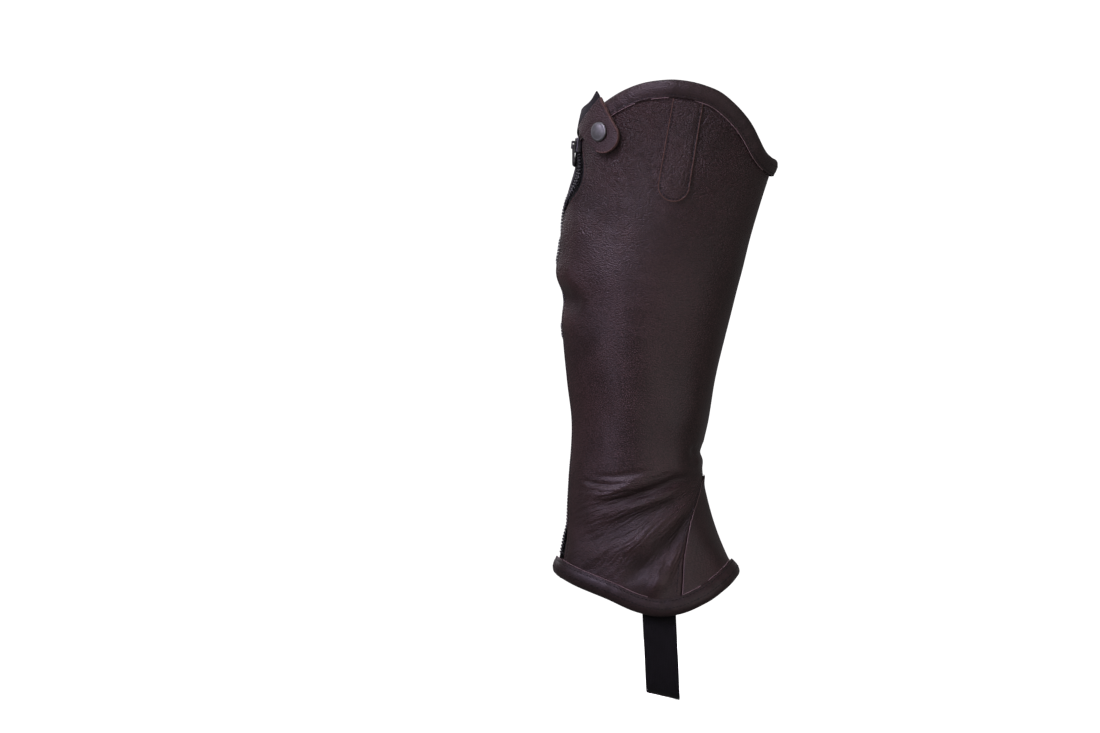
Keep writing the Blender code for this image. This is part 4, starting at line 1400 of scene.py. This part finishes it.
# %% A node group with short ways to build it
class Tree:
    """A Geometry Nodes group, with short ways to add inputs, nodes and links."""

    def __init__(self, name):
        self.group = bpy.data.node_groups.new(name, "GeometryNodeTree")
        for way in ("INPUT", "OUTPUT"):
            self.group.interface.new_socket("Geometry", in_out=way,
                                            socket_type="NodeSocketGeometry")
        self.start = self.group.nodes.new("NodeGroupInput")
        self.end = self.group.nodes.new("NodeGroupOutput")

    def size(self, name, value):
        """A named input for a length in metres or a plain number."""
        socket = self.group.interface.new_socket(name, in_out="INPUT",
                                                 socket_type="NodeSocketFloat")
        socket.default_value = value

    def choice(self, name, kind):
        self.group.interface.new_socket(name, in_out="INPUT", socket_type=kind)

    def node(self, kind, links=(), **values):
        made = self.group.nodes.new(kind)
        for name, value in values.items():
            setattr(made, name, value)
        for socket, source in dict(links).items():
            if isinstance(source, bpy.types.NodeSocket):
                self.group.links.new(source, made.inputs[socket])
            else:
                made.inputs[socket].default_value = source
        return made

    def math(self, operation, first, second):
        return self.node("ShaderNodeMath", {0: first, 1: second}, operation=operation).outputs[0]

    def finish(self, geometry, material):
        real = self.node("GeometryNodeRealizeInstances", {"Geometry": geometry})
        smooth_faces = self.node("GeometryNodeSetShadeSmooth", {"Geometry": real.outputs[0]})
        painted = self.node("GeometryNodeSetMaterial", {"Geometry": smooth_faces.outputs[0],
                                                        "Material": material})
        self.group.links.new(painted.outputs[0], self.end.inputs["Geometry"])
        return self.group


print("helper:", Tree.__name__)


# %% Walking a line
def walk_line(tree, pitch):
    """Curve points at the pitch, and the turn that sets an instance on the surface."""
    curve = tree.node("GeometryNodeMeshToCurve", {"Mesh": tree.start.outputs["Geometry"]})
    steps = tree.node("GeometryNodeResampleCurve",
                      {"Curve": curve.outputs[0], "Length": pitch}, mode="LENGTH")
    away = tree.node("GeometryNodeInputNamedAttribute", {"Name": "away"},
                     data_type="FLOAT_VECTOR")
    tangent = tree.node("GeometryNodeInputTangent")
    turn = tree.node("FunctionNodeAxesToRotation",
                     {"Primary Axis": tangent.outputs[0], "Secondary Axis": away.outputs[0]},
                     primary_axis="X", secondary_axis="Z")
    return steps.outputs[0], turn.outputs[0]


print("helper:", walk_line.__name__)


# %% One stitch, set along a line
def stitch_tree():
    tree = Tree("stitch_row")
    tree.size("Pitch", 0.003)
    tree.size("Length", 0.002)
    tree.size("Thread", 0.0007)
    tree.choice("Material", "NodeSocketMaterial")
    points, turn = walk_line(tree, tree.start.outputs["Pitch"])
    stitch = tree.node("GeometryNodeMeshUVSphere", {"Segments": 6, "Rings": 5, "Radius": 0.5})
    scale = tree.node("ShaderNodeCombineXYZ", {
        "X": tree.start.outputs["Length"], "Y": tree.start.outputs["Thread"],
        "Z": tree.math("MULTIPLY", tree.start.outputs["Thread"], 0.8)})
    lying = tree.node("GeometryNodeTransform", {"Geometry": stitch.outputs[0],
                                                "Rotation": (0, math.pi / 2, 0)})
    wobble = tree.node("FunctionNodeRandomValue", {
        2: 0.86, 3: 1.1, "Seed": 7}, data_type="FLOAT")
    sized = tree.node("ShaderNodeVectorMath", {0: scale.outputs[0]}, operation="SCALE")
    tree.group.links.new(wobble.outputs[1], sized.inputs["Scale"])
    row = tree.node("GeometryNodeInstanceOnPoints", {
        "Points": points, "Instance": lying.outputs[0], "Rotation": turn,
        "Scale": sized.outputs[0]})
    return tree.finish(row.outputs[0], tree.start.outputs["Material"])


FINE_PITCH = 2.8
STITCHES = stitch_tree()
print("stitch inputs:", [item.name for item in STITCHES.interface.items_tree
                         if item.in_out == "INPUT"])

# %% Lines that lie on the finished cloth
RAY_FROM = 7.0
RAY_LENGTH = 14.0
MISSED = 6.0


def cloth_tree(*sheets):
    """A search tree of the outer faces of finished sheets."""
    points, faces = [], []
    for cloth_piece in sheets:
        first = len(points)
        points += [vertex.co.copy() for vertex in cloth_piece.data.vertices]
        faces += [[first + index for index in face.vertices]
                  for face in cloth_piece.data.polygons]
    return BVHTree.FromPolygons(points, faces)


def seated(tree, angle, height, lift=0.0):
    """Drops places on the leg onto the cloth; returns points in metres and directions."""
    away = outward(angle, height)
    start = skin(angle, height, RAY_FROM)
    points = []
    for spot, direction in zip(start, away):
        hit = tree.ray_cast(Vector(spot * MM), -Vector(direction), RAY_LENGTH * MM)[0]
        if hit is None:
            hit = Vector((spot - MISSED * direction) * MM)
        points.append(hit + Vector(direction) * lift * MM)
    return np.array([point[:] for point in points]), away


def line_object(name, rows):
    """One mesh of edges for several lines; rows are (points, directions)."""
    points, directions, edges = [], [], []
    for spots, away in rows:
        first = sum(len(part) for part in points)
        points.append(spots)
        directions.append(away)
        edges += [(first + step, first + step + 1) for step in range(len(spots) - 1)]
    mesh = bpy.data.meshes.new(name)
    mesh.from_pydata(np.concatenate(points).tolist(), edges, [])
    layer = mesh.attributes.new("away", "FLOAT_VECTOR", "POINT")
    layer.data.foreach_set("vector", np.concatenate(directions).ravel())
    return put(name, mesh)


def grown(line, group, **values):
    """Runs a node tree on a line and keeps the result as a plain mesh."""
    nodes = line.modifiers.new("grow", "NODES")
    nodes.node_group = group
    identifiers = {item.name: item.identifier for item in group.interface.items_tree
                   if item.in_out == "INPUT"}
    for name, value in values.items():
        nodes[identifiers[name]] = value
    ready = line.evaluated_get(bpy.context.evaluated_depsgraph_get())
    mesh = bpy.data.meshes.new_from_object(ready)
    mesh.name = line.name
    line.modifiers.remove(nodes)
    line.data = mesh
    return line


panel_tree = cloth_tree(panel)
on_calf = seated(panel_tree, np.array([90.0]), np.array([0.0]))[0][0]
print("the leather's face at the side of the calf:", (on_calf / MM).round(1), "mm")

# %% [markdown]
# ## Rows of stitches
#
# The bands and the patch are held by lockstitch of about three millimetres. Dark thread
# shows as small shadows. The fine rosy lines beside some seams are painted highlights, where
# the seam's edge catches the light. A row is one mesh of small rounded stitches, which stand
# on the cloth where a ray from outside meets it.

# %% Threads
def thread_material(name, color):
    made, tree, shader = new_material(name, color, 0.6)
    twist = texture(tree, "ShaderNodeTexNoise", 2500.0, object_places(tree), Detail=1.0)
    link(tree, bump(tree, twist.outputs["Fac"], 0.4, 0.0002), shader.inputs["Normal"])
    return made


dark_thread = thread_material("dark_thread", (0.0022, 0.0014, 0.0016))
# the rosy one is no thread: its pale colour paints the highlight along the seams' edges
rose_thread = thread_material("rose_thread", (0.27, 0.19, 0.195))
edge_glint = thread_material("edge_glint", (0.085, 0.035, 0.032))


def sew_on(made):
    """A thread or cut edge moves with the chap."""
    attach(made, BODY)
    print(made.name, len(made.data.polygons), "faces")


def stitch_row(name, rows, pitch=THREAD_PITCH, length=2.2, thread=0.8):
    sew_on(grown(line_object(name, rows), STITCHES, Pitch=pitch * MM, Length=length * MM,
                 Thread=thread * MM, Material=dark_thread))


print("threads:", dark_thread.name, rose_thread.name, edge_glint.name)


# %% Stitches on the bands
def row_on_band(tree, path, over, first, last, lift=0.0):
    share = np.linspace(first, last, 700)
    return seated(tree, *band_spots(path, share, over), lift=lift)


top_tree, hem_tree = cloth_tree(top_band), cloth_tree(hem_band)
stitch_row("top_band_stitches", [row_on_band(top_tree, top_path, -8.9, 0.02, 0.985),
                                 row_on_band(top_tree, top_path, -3.2, 0.56, 0.985)])
stitch_row("hem_band_stitches", [row_on_band(hem_tree, hem_path, 9.1, 0.01, 0.99),
                                 row_on_band(hem_tree, hem_path, 3.4, 0.01, 0.99)])

# %% [markdown]
# ### Painted highlights beside the seams
#
# Where a band is sewn on, its edge catches the light along parts of the seam. A thin pale
# rosy tube paints that highlight in. It could be painted flat on the leather, but a thin
# tube has its own shine from all sides. A curve with a round bevel gives the tube, and it
# is made a mesh at once.

# %% Painted highlight lines under the bands
HIGHLIGHT_LINE_RADIUS = 0.3


def cord_along(name, rows, radius, look):
    """A thin closed tube laid along seated points."""
    data = bpy.data.curves.new(name, "CURVE")
    data.dimensions = "3D"
    data.bevel_depth = radius * MM
    data.bevel_resolution = 1
    data.use_fill_caps = True
    for points, _ in rows:
        spline = data.splines.new("POLY")
        spline.points.add(len(points) - 1)
        for point, spot in zip(spline.points, points):
            point.co = (*spot, 1.0)
    data.materials.append(look)
    curve = put(name, data)
    mesh = bpy.data.meshes.new_from_object(curve.evaluated_get(
        bpy.context.evaluated_depsgraph_get()))
    bpy.data.objects.remove(curve)
    mesh.name = name
    sew_on(put(name, mesh))


def share_at(path, angle):
    """How far along a path an angle lies, from 0 to 1."""
    gone = path_lengths(path)[1]
    return float(np.interp(angle, path[:, 0], gone / gone[-1]))


def band_highlight_line(name, tree, path, over, lift, spans):
    """A painted highlight beside a band: a pale rosy tube between pairs of angles."""
    cord_along(name, [row_on_band(tree, path, over, share_at(path, first),
                                  share_at(path, last), lift=lift)
                      for first, last in spans], HIGHLIGHT_LINE_RADIUS, rose_thread)


# painted highlights along the hem band's and the top band's seams, only on the spans that catch
# the light
band_highlight_line("hem_welt", cloth_tree(panel, wedge), hem_path, HEM_BAND + 0.25, 0.2,
          ((6, 83), (108, 123), (131, 236), (250, 292)))
band_highlight_line("top_welt", panel_tree, top_path, -BAND - 0.35, 1.3,
          ((28, 58), (70, 82), (100, 158), (205, 290)))


# %% Stitches round the patch
def patch_line(inset, count=500):
    """Down one side of the patch, round its foot and up the other."""
    gone = PATCH_LENGTH * np.linspace(0, 1, 400)
    side = patch_half_width(gone, inset) - 0.6 * (1 - gone / PATCH_LENGTH)
    last = np.searchsorted(gone, PATCH_LENGTH - inset)
    down = np.stack([gone[:last], side[:last]], axis=-1)
    line = np.concatenate([down, (down * (1, -1))[::-1]])
    length = np.concatenate([[0], np.cumsum(np.linalg.norm(np.diff(line, axis=0), axis=1))])
    at = np.linspace(0, length[-1], count)
    return np.interp(at, length, line[:, 0]), np.interp(at, length, line[:, 1])


patch_tree = cloth_tree(patch)
gone, across = patch_line(1.9)
inside = gone > 8.0
stitch_row("patch_stitches", [seated(patch_tree, *patch_spot(gone[inside], across[inside]))],
           pitch=FINE_PITCH, length=2.0, thread=1.1)

# %% [markdown]
# ### Raw cut edges
#
# The patch and the tab aren't turned under, so the pale core of the leather shows all
# round. From the front that core is only a thin ring, and a tube laid just inside the
# outline shows it better than the sheet's own narrow wall. On the tab the tube runs only
# down the side and round the tip that catch the light, so there it is partly a painted
# highlight.

# %% The raw edges that show tan
def edge_ring(name, tree, spots, radius=0.42, lift=-0.15):
    """A cut edge seen from the front: a narrow, rounded ring of bare leather."""
    cord_along(name, [seated(tree, *spots, lift=lift)], radius, tan_edge)


edge_ring("patch_edge", patch_tree, patch_spot(*patch_line(0.35)))


# %% Stitches down the seam strip and the leather's zip edge
def beside_seam(side):
    height = np.linspace(-285, 66, 900)
    return inner_seam(height, ELASTIC_WIDTH + side), height


def beside_zip(left):
    return alongside(zip_path(), np.linspace(0.02, 0.975, 900), left)


strip_tree = cloth_tree(seam_strip)
stitch_row("strip_stitches", [seated(strip_tree, *beside_seam(side)) for side in (-2.9, 2.9)])
stitch_row("zip_edge_stitches",
           [seated(panel_tree, *beside_zip(-ZIP_OPENING - STITCH_INSET))])
cord_along("zip_edge", [seated(panel_tree, *beside_zip(-ZIP_OPENING - 0.5), lift=-0.1)], HIGHLIGHT_LINE_RADIUS,
           edge_glint)


# %% Stitches along the wedge's seams
def wedge_seam(side, beyond):
    share = np.linspace(0.05, 0.985, 300) * NOTCH_SHARE
    angle = 180 + side * (wedge_angle(share) + beyond)
    return angle, between(hem(angle), top(angle), share)


stitch_row("wedge_stitches", [seated(panel_tree, *wedge_seam(side, 3.2)) for side in (-1, 1)],
           pitch=FINE_PITCH)
# the pale rosy tube beside the wedge's seam is a painted highlight on the seam's edge
cord_along("wedge_welt", [seated(cloth_tree(wedge), *wedge_seam(-1, -1.3), lift=-0.1)], 0.24,
           rose_thread)

# %% [markdown]
# ## Teeth, slider and top end
#
# The teeth come from two rows that mesh, so the tree reads each point's index: odd teeth
# are turned half round. A tooth is a short bar with bevelled edges, narrower at one end, so
# that hundreds of them stay light.

# %% One tooth
TOOTH = (1.25, 3.7, 2.3)


def tooth_mesh():
    """A tooth: a bar from the tape's edge over the middle line, with rounded edges."""
    data = bmesh.new()
    bmesh.ops.create_cube(data, size=1.0)
    for point in data.verts:
        narrow = 0.72 if point.co.y > 0 else 1.0
        point.co = Vector((point.co.x * TOOTH[0] * narrow, point.co.y * TOOTH[1] - 1.05,
                           point.co.z * TOOTH[2] - TOOTH[2] / 2)) * MM
    bmesh.ops.bevel(data, geom=data.edges[:], offset=0.28 * MM, segments=1,
                    affect="EDGES", profile=0.5)
    return stored_mesh("tooth", data)


print("tooth:", TOOTH, "mm")


# %% Teeth that mesh
def teeth_tree():
    tree = Tree("zip_teeth")
    tree.size("Half Pitch", 0.0013)
    tree.choice("Tooth", "NodeSocketObject")
    tree.choice("Material", "NodeSocketMaterial")
    points, turn = walk_line(tree, tree.start.outputs["Half Pitch"])
    tooth = tree.node("GeometryNodeObjectInfo", {"Object": tree.start.outputs["Tooth"]},
                      transform_space="ORIGINAL")
    index = tree.node("GeometryNodeInputIndex")
    odd = tree.math("MODULO", index.outputs[0], 2.0)
    half_turn = tree.node("ShaderNodeCombineXYZ", {"Z": tree.math("MULTIPLY", odd, math.pi)})
    local = tree.node("FunctionNodeEulerToRotation", {"Euler": half_turn.outputs[0]})
    full = tree.node("FunctionNodeRotateRotation",
                     {"Rotation": turn, "Rotate By": local.outputs[0]}, rotation_space="LOCAL")
    row = tree.node("GeometryNodeInstanceOnPoints", {
        "Points": points, "Instance": tooth.outputs["Geometry"], "Rotation": full.outputs[0]})
    return tree.finish(row.outputs[0], tree.start.outputs["Material"])


TEETH = teeth_tree()
print("tooth inputs:", [item.name for item in TEETH.interface.items_tree
                        if item.in_out == "INPUT"])


# %% Worn metal
def metal_material(name, dark, light, roughness):
    return two_tone(*new_material(name, light, roughness, 0.9), dark, light, (0.15, 0.0002),
                    300.0, Detail=4.0)


black_nickel = metal_material("black_nickel", (0.05, 0.05, 0.055), (0.12, 0.12, 0.13), 0.32)
stud_metal = metal_material("stud_metal", (0.17, 0.18, 0.18), (0.24, 0.255, 0.25), 0.36)
print("metals:", black_nickel.name, stud_metal.name)

# %% The closed chain
HALF_PITCH = 1.32
# how far the teeth stand out at a height; where it is little, the leather's edge hides them
TEETH_SHOW = table("height out", [
    (-285, 0.75), (-246, 0.75), (-236, -0.5), (-94, -0.5), (-90, 0.7), (-82, 0.7), (-78, -0.5),
    (-36, -0.5), (-31, 0.75), (-17, 0.75), (-12, -0.3), (-4, 0.4), (4, 0.75), (70, 0.75),
])


def make_teeth():
    path = zip_path(count=700)
    path = path[(path[:, 1] >= ZIP_FOOT + 1) & (path[:, 1] <= CHAIN_TOP - 0.5)]
    angle, height = path.T
    shown = np.interp(height, column(TEETH_SHOW, "height"), column(TEETH_SHOW, "out"))
    line = line_object("zip_teeth", [(skin(angle, height, shown) * MM, outward(angle, height))])
    tooth = bpy.data.objects.new("tooth", tooth_mesh())
    made = grown(line, TEETH, Tooth=tooth, Material=black_nickel,
                 **{"Half Pitch": HALF_PITCH * MM})
    bpy.data.objects.remove(tooth)
    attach(made, BODY)
    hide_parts("zip_chain")
    print("zip teeth:", len(made.data.polygons), "faces")


make_teeth()

# %% [markdown]
# ### Slider and pull
#
# The slider and its hanging pull are hard metal, and the solids already show them well. So
# they keep their solids, and the pull can swing on its own body. Only worn metal is added.

# %% Slider and pull
def give_look(node, look):
    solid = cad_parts[node]
    solid.data.materials.clear()
    solid.data.materials.append(look)
    print(node, "looks like", look.name)


give_look("zip_slider", black_nickel)
give_look("zip_pull", black_nickel)

# %% [markdown]
# ### The zip's upper end
#
# A small piece of leather is folded over the upper end of the zip, so that it can't chafe
# the leg. It is a strip between two lines beside the zip, with a little bulge.

# %% The leather end over the top stop
TAB_LOOKS = [tab_leather, suede, tan_edge]


def make_guard():
    def bulge(u):
        return 0.9 * np.sin(math.pi * u) - 0.7 + 0.25 * np.sin(u * 19.0)

    made = grid_object("zip_end", 26, 18, strip_by_zip(64.5, 75.5, 6.5,
                                                       SEAM_GAP - ZIP_OPENING, bulge))
    finish_sheet(made, "trim_leather", "zip_guard", TAB_LOOKS, TRIM, "folded", edge=0.25)


make_guard()

# %% [markdown]
# ## The strap, its tab and the press stud
#
# A short elastic strap crosses above the zip and ends in a leather tab. The tab is cut from
# thicker, redder leather with its cut edge left raw, and a press stud holds it shut.

# %% The strap over the zip
TOP_STRAP = table("share low_angle low_height high_angle high_height bulge", [
    (0.0, 309.9, 54.4, 309.9, 79.6, 0.0), (0.22, 322.0, 56.8, 322.0, 80.8, 0.0),
    (0.45, 338.0, 60.4, 340.0, 82.4, 0.0), (0.65, 350.0, 65.2, 354.0, 84.4, 0.0),
    (0.80, 361.0, 70.4, 368.0, 87.0, 0.0), (0.91, 370.0, 75.6, 382.0, 92.0, 3.0),
    (1.0, 381.6, 81.2, 387.6, 99.8, 10.0),
])


def make_top_strap():
    def where(u, v):
        low_angle, low_height, high_angle, high_height, bulge = [
            smooth(TOP_STRAP, name, u) for name in TOP_STRAP[0]._fields[1:]]
        angle = between(low_angle, high_angle, v) + bulge * np.sin(math.pi * v)
        height = between(low_height, high_height, v)
        lift = between(1.5, 2.0, u)
        return skin(angle, height, lift + 0.2 * np.sin(u * 9.0) * np.sin(v * 3.0))

    made = grid_object("zip_strap", 90, 30, where)
    finish_sheet(made, "elastic", "top_strap", [webbing], ELASTIC, "stretched", edge=0.25)


make_top_strap()

# %% The snap tab
TAB_ROOT_MIDDLE = (27.4, 82.8)
TAB_HEADING = -42.7
TAB_LENGTH = 40.8
TAB_ROOT = 32.0
TAB_TIP = 12.3
TAB_OUT = 5.4
SNAP_FROM_ROOT = 22.2


def tab_spot(along, across):
    """A place on the leg from a distance down the snap tab and one across it."""
    start_angle, start_height = TAB_ROOT_MIDDLE
    start = skin(np.array([start_angle]), np.array([start_height]))[0]
    ring = np.linspace(0, 75, 76)
    points = form(ring, np.full_like(ring, start_height))
    gone = np.concatenate([[0], np.cumsum(np.linalg.norm(np.diff(points, axis=0), axis=1))])
    first = np.interp(start_angle, ring, gone)
    turn = math.radians(TAB_HEADING)
    sideways = first + along * math.cos(turn) - across * math.sin(turn)
    height = start[2] + along * math.sin(turn) + across * math.cos(turn)
    return angles_on(rings_at(height), sideways), height


def tab_reach(along, inset=0.0):
    body = TAB_LENGTH - TAB_TIP
    tip = TAB_TIP - inset
    past = np.clip((along - body) / tip, 0, 0.9995)
    taper = between(TAB_ROOT / 2, TAB_TIP, np.clip(along / body, 0, 1) ** 1.3) - inset
    return taper * np.sqrt(1 - past ** 2)


def make_tab():
    def where(u, v):
        across = 2 * u - 1
        along = TAB_LENGTH * v
        reach = tab_reach(along)
        angle, height = tab_spot(along, -across * reach)
        dish = -0.5 * np.exp(-((along - SNAP_FROM_ROOT) ** 2 + (across * reach) ** 2) / 60)
        curl = 0.5 * np.clip(1 - (TAB_LENGTH - along) / 12, 0, 1)
        ripple = -0.35 * np.exp(-((along - 12.0) / 1.2) ** 2)
        return skin(angle, height, TAB_OUT + dish + curl + ripple)

    levels = 1 - (1 - np.linspace(0, 1, 61)) ** 1.5
    made = grid_object("tab", 40, 60, where, levels)
    return finish_sheet(made, "tab_leather", "snap_tab", TAB_LOOKS, TAB_HIDE, "laid", edge=0.5)


def tab_outline(inset, count=500):
    """Down one side of the tab, round its tip and up the other."""
    along = (TAB_LENGTH - inset) * (1 - (1 - np.linspace(0.02, 1, count)) ** 2)
    reach = tab_reach(along, inset)
    return np.concatenate([along, along[::-1]]), np.concatenate([reach, -reach[::-1]])


tab_tree = cloth_tree(make_tab())

# %% The tab's cut edge and stitches
along, over = tab_outline(0.45)
# the tan core is the leather's own, but the ring is drawn only where the edge catches the light,
# not on the shaded lower edge: partly painted highlight
seen = (over > 0) | (along > TAB_LENGTH - 9)
edge_ring("tab_edge", tab_tree, tab_spot(along[seen], over[seen]), radius=0.5)
along, over = tab_outline(2.6)
seen = (over > 0) & (along < 15)
stitch_row("tab_stitches", [seated(tab_tree, *tab_spot(along[seen], over[seen]))],
           pitch=FINE_PITCH)

# %% [markdown]
# ### The press stud
#
# The cap is thin metal, pressed round over the leather. As on a lathe, a profile of its rim
# and dome is spun about the middle, and then it is stood on the tab. The socket under the
# tab hardly shows, so it keeps its solid and only gets the metal.

# %% The press stud
def facing(angle, height, out):
    """A frame on the leg: x round it, y up it, z outwards."""
    place = np.array([angle]), np.array([height])
    away = Vector(outward(*place)[0])
    around = Vector((0, 0, 1)).cross(away).normalized()
    turn = Matrix((around, away.cross(around), away)).transposed().to_4x4()
    turn.translation = Vector(skin(*place, out)[0]) * MM
    return turn


def turned_piece(name, profile, place, look, steps=64):
    """Spins a profile of (radius, height) about its middle and puts it in place."""
    data = bmesh.new()
    points = [data.verts.new((radius * MM, 0, height * MM)) for radius, height in profile]
    edges = [data.edges.new(pair) for pair in zip(points, points[1:])]
    bmesh.ops.spin(data, geom=points + edges, cent=(0, 0, 0), axis=(0, 0, 1),
                   angle=math.tau, steps=steps, use_merge=True)
    bmesh.ops.remove_doubles(data, verts=data.verts, dist=0.01 * MM)
    bmesh.ops.transform(data, matrix=place, verts=data.verts)
    bmesh.ops.recalc_face_normals(data, faces=data.faces)
    made = put(name, stored_mesh(name, data))
    made.data.materials.append(look)
    return made


CAP_PROFILE = [(0.0, 0.0), (7.2, 0.0), (7.55, 0.3), (7.6, 0.7), (7.4, 1.15), (6.9, 1.5),
               (6.3, 1.62), (5.9, 1.55), (5.5, 1.6), (4.6, 1.8), (3.0, 1.98), (0.0, 2.1)]
snap_angle, snap_height = [value[0] for value in
                           tab_spot(np.array([SNAP_FROM_ROOT]), np.array([0.0]))]
cap = turned_piece("stud_cap", CAP_PROFILE,
                   facing(snap_angle, snap_height, TAB_OUT + SEAM_GAP), stud_metal)
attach(cap, BODY)
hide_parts("snap_cap")
give_look("snap_socket", stud_metal)
print("stud:", len(cap.data.polygons), "faces")

# %% [markdown]
# ## The strap under the foot
#
# A wide black elastic strap runs from inside the hem round under the boot's arch. It is
# woven with a firm edge, a selvedge, which shows as a low rib near each side.

# %% Instep strap
STIRRUP = table("reach height forward", [
    (41.6, -291.0, 0.4), (41.7, -310.0, 1.0), (42.7, -330.0, 2.0), (42.6, -350.0, 3.0),
    (41.6, -361.0, 3.4), (39.6, -366.6, 3.6), (36.0, -369.6, 3.7), (30.0, -370.6, 3.7),
    (15.0, -370.8, 3.7), (0.0, -370.9, 3.7),
])
STIRRUP_SLOPE = math.tan(math.radians(-13.0))
STIRRUP_WIDTH = 25.7


def stirrup_line(count):
    """One half of the strap's path, evenly spaced: reach, height and forward shift."""
    rows = np.array(STIRRUP)
    gone = np.concatenate([[0], np.cumsum(np.linalg.norm(np.diff(rows[:, :2], axis=0), axis=1))])
    spots = table("gone reach height forward", zip(gone, *rows.T))
    at = np.linspace(0, gone[-1], count)
    return [smooth(spots, name, at) for name in ("reach", "height", "forward")]


def make_stirrup():
    half = 90
    reach, height, forward = [
        np.concatenate([sign * values, values[-2::-1]])
        for sign, values in zip((-1, 1, 1), stirrup_line(half + 1))]
    rows = len(reach) - 1

    def where(u, v):
        at = np.rint(v * rows).astype(int)
        over = (u - 0.5) * STIRRUP_WIDTH
        low = np.clip((-340 - height[at]) / 30, 0, 1)
        rib = 0.22 * np.exp(-((np.abs(over) - 10.2) / 0.6) ** 2)
        outwards = unit(np.stack([np.zeros(rows + 1), np.gradient(height),
                                  -np.gradient(reach)], axis=-1))[at]
        spots = np.stack([forward[at] + over, reach[at],
                          height[at] + STIRRUP_SLOPE * over * low], axis=-1)
        return spots + outwards * rib[:, None]

    made = grid_object("foot_strap", 40, rows, where)
    mesh = made.data
    lowest = min(mesh.polygons, key=lambda face: face.center.z)
    if lowest.normal.z > 0:
        mesh.flip_normals()
    finish_sheet(made, "elastic", "instep_strap", [webbing], WEBBING, "hung", edge=0.3)


make_stirrup()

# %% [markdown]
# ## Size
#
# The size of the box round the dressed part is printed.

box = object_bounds()
print("size:", [round((high - low) * 1000, 1) for low, high in zip(*box)], "mm")
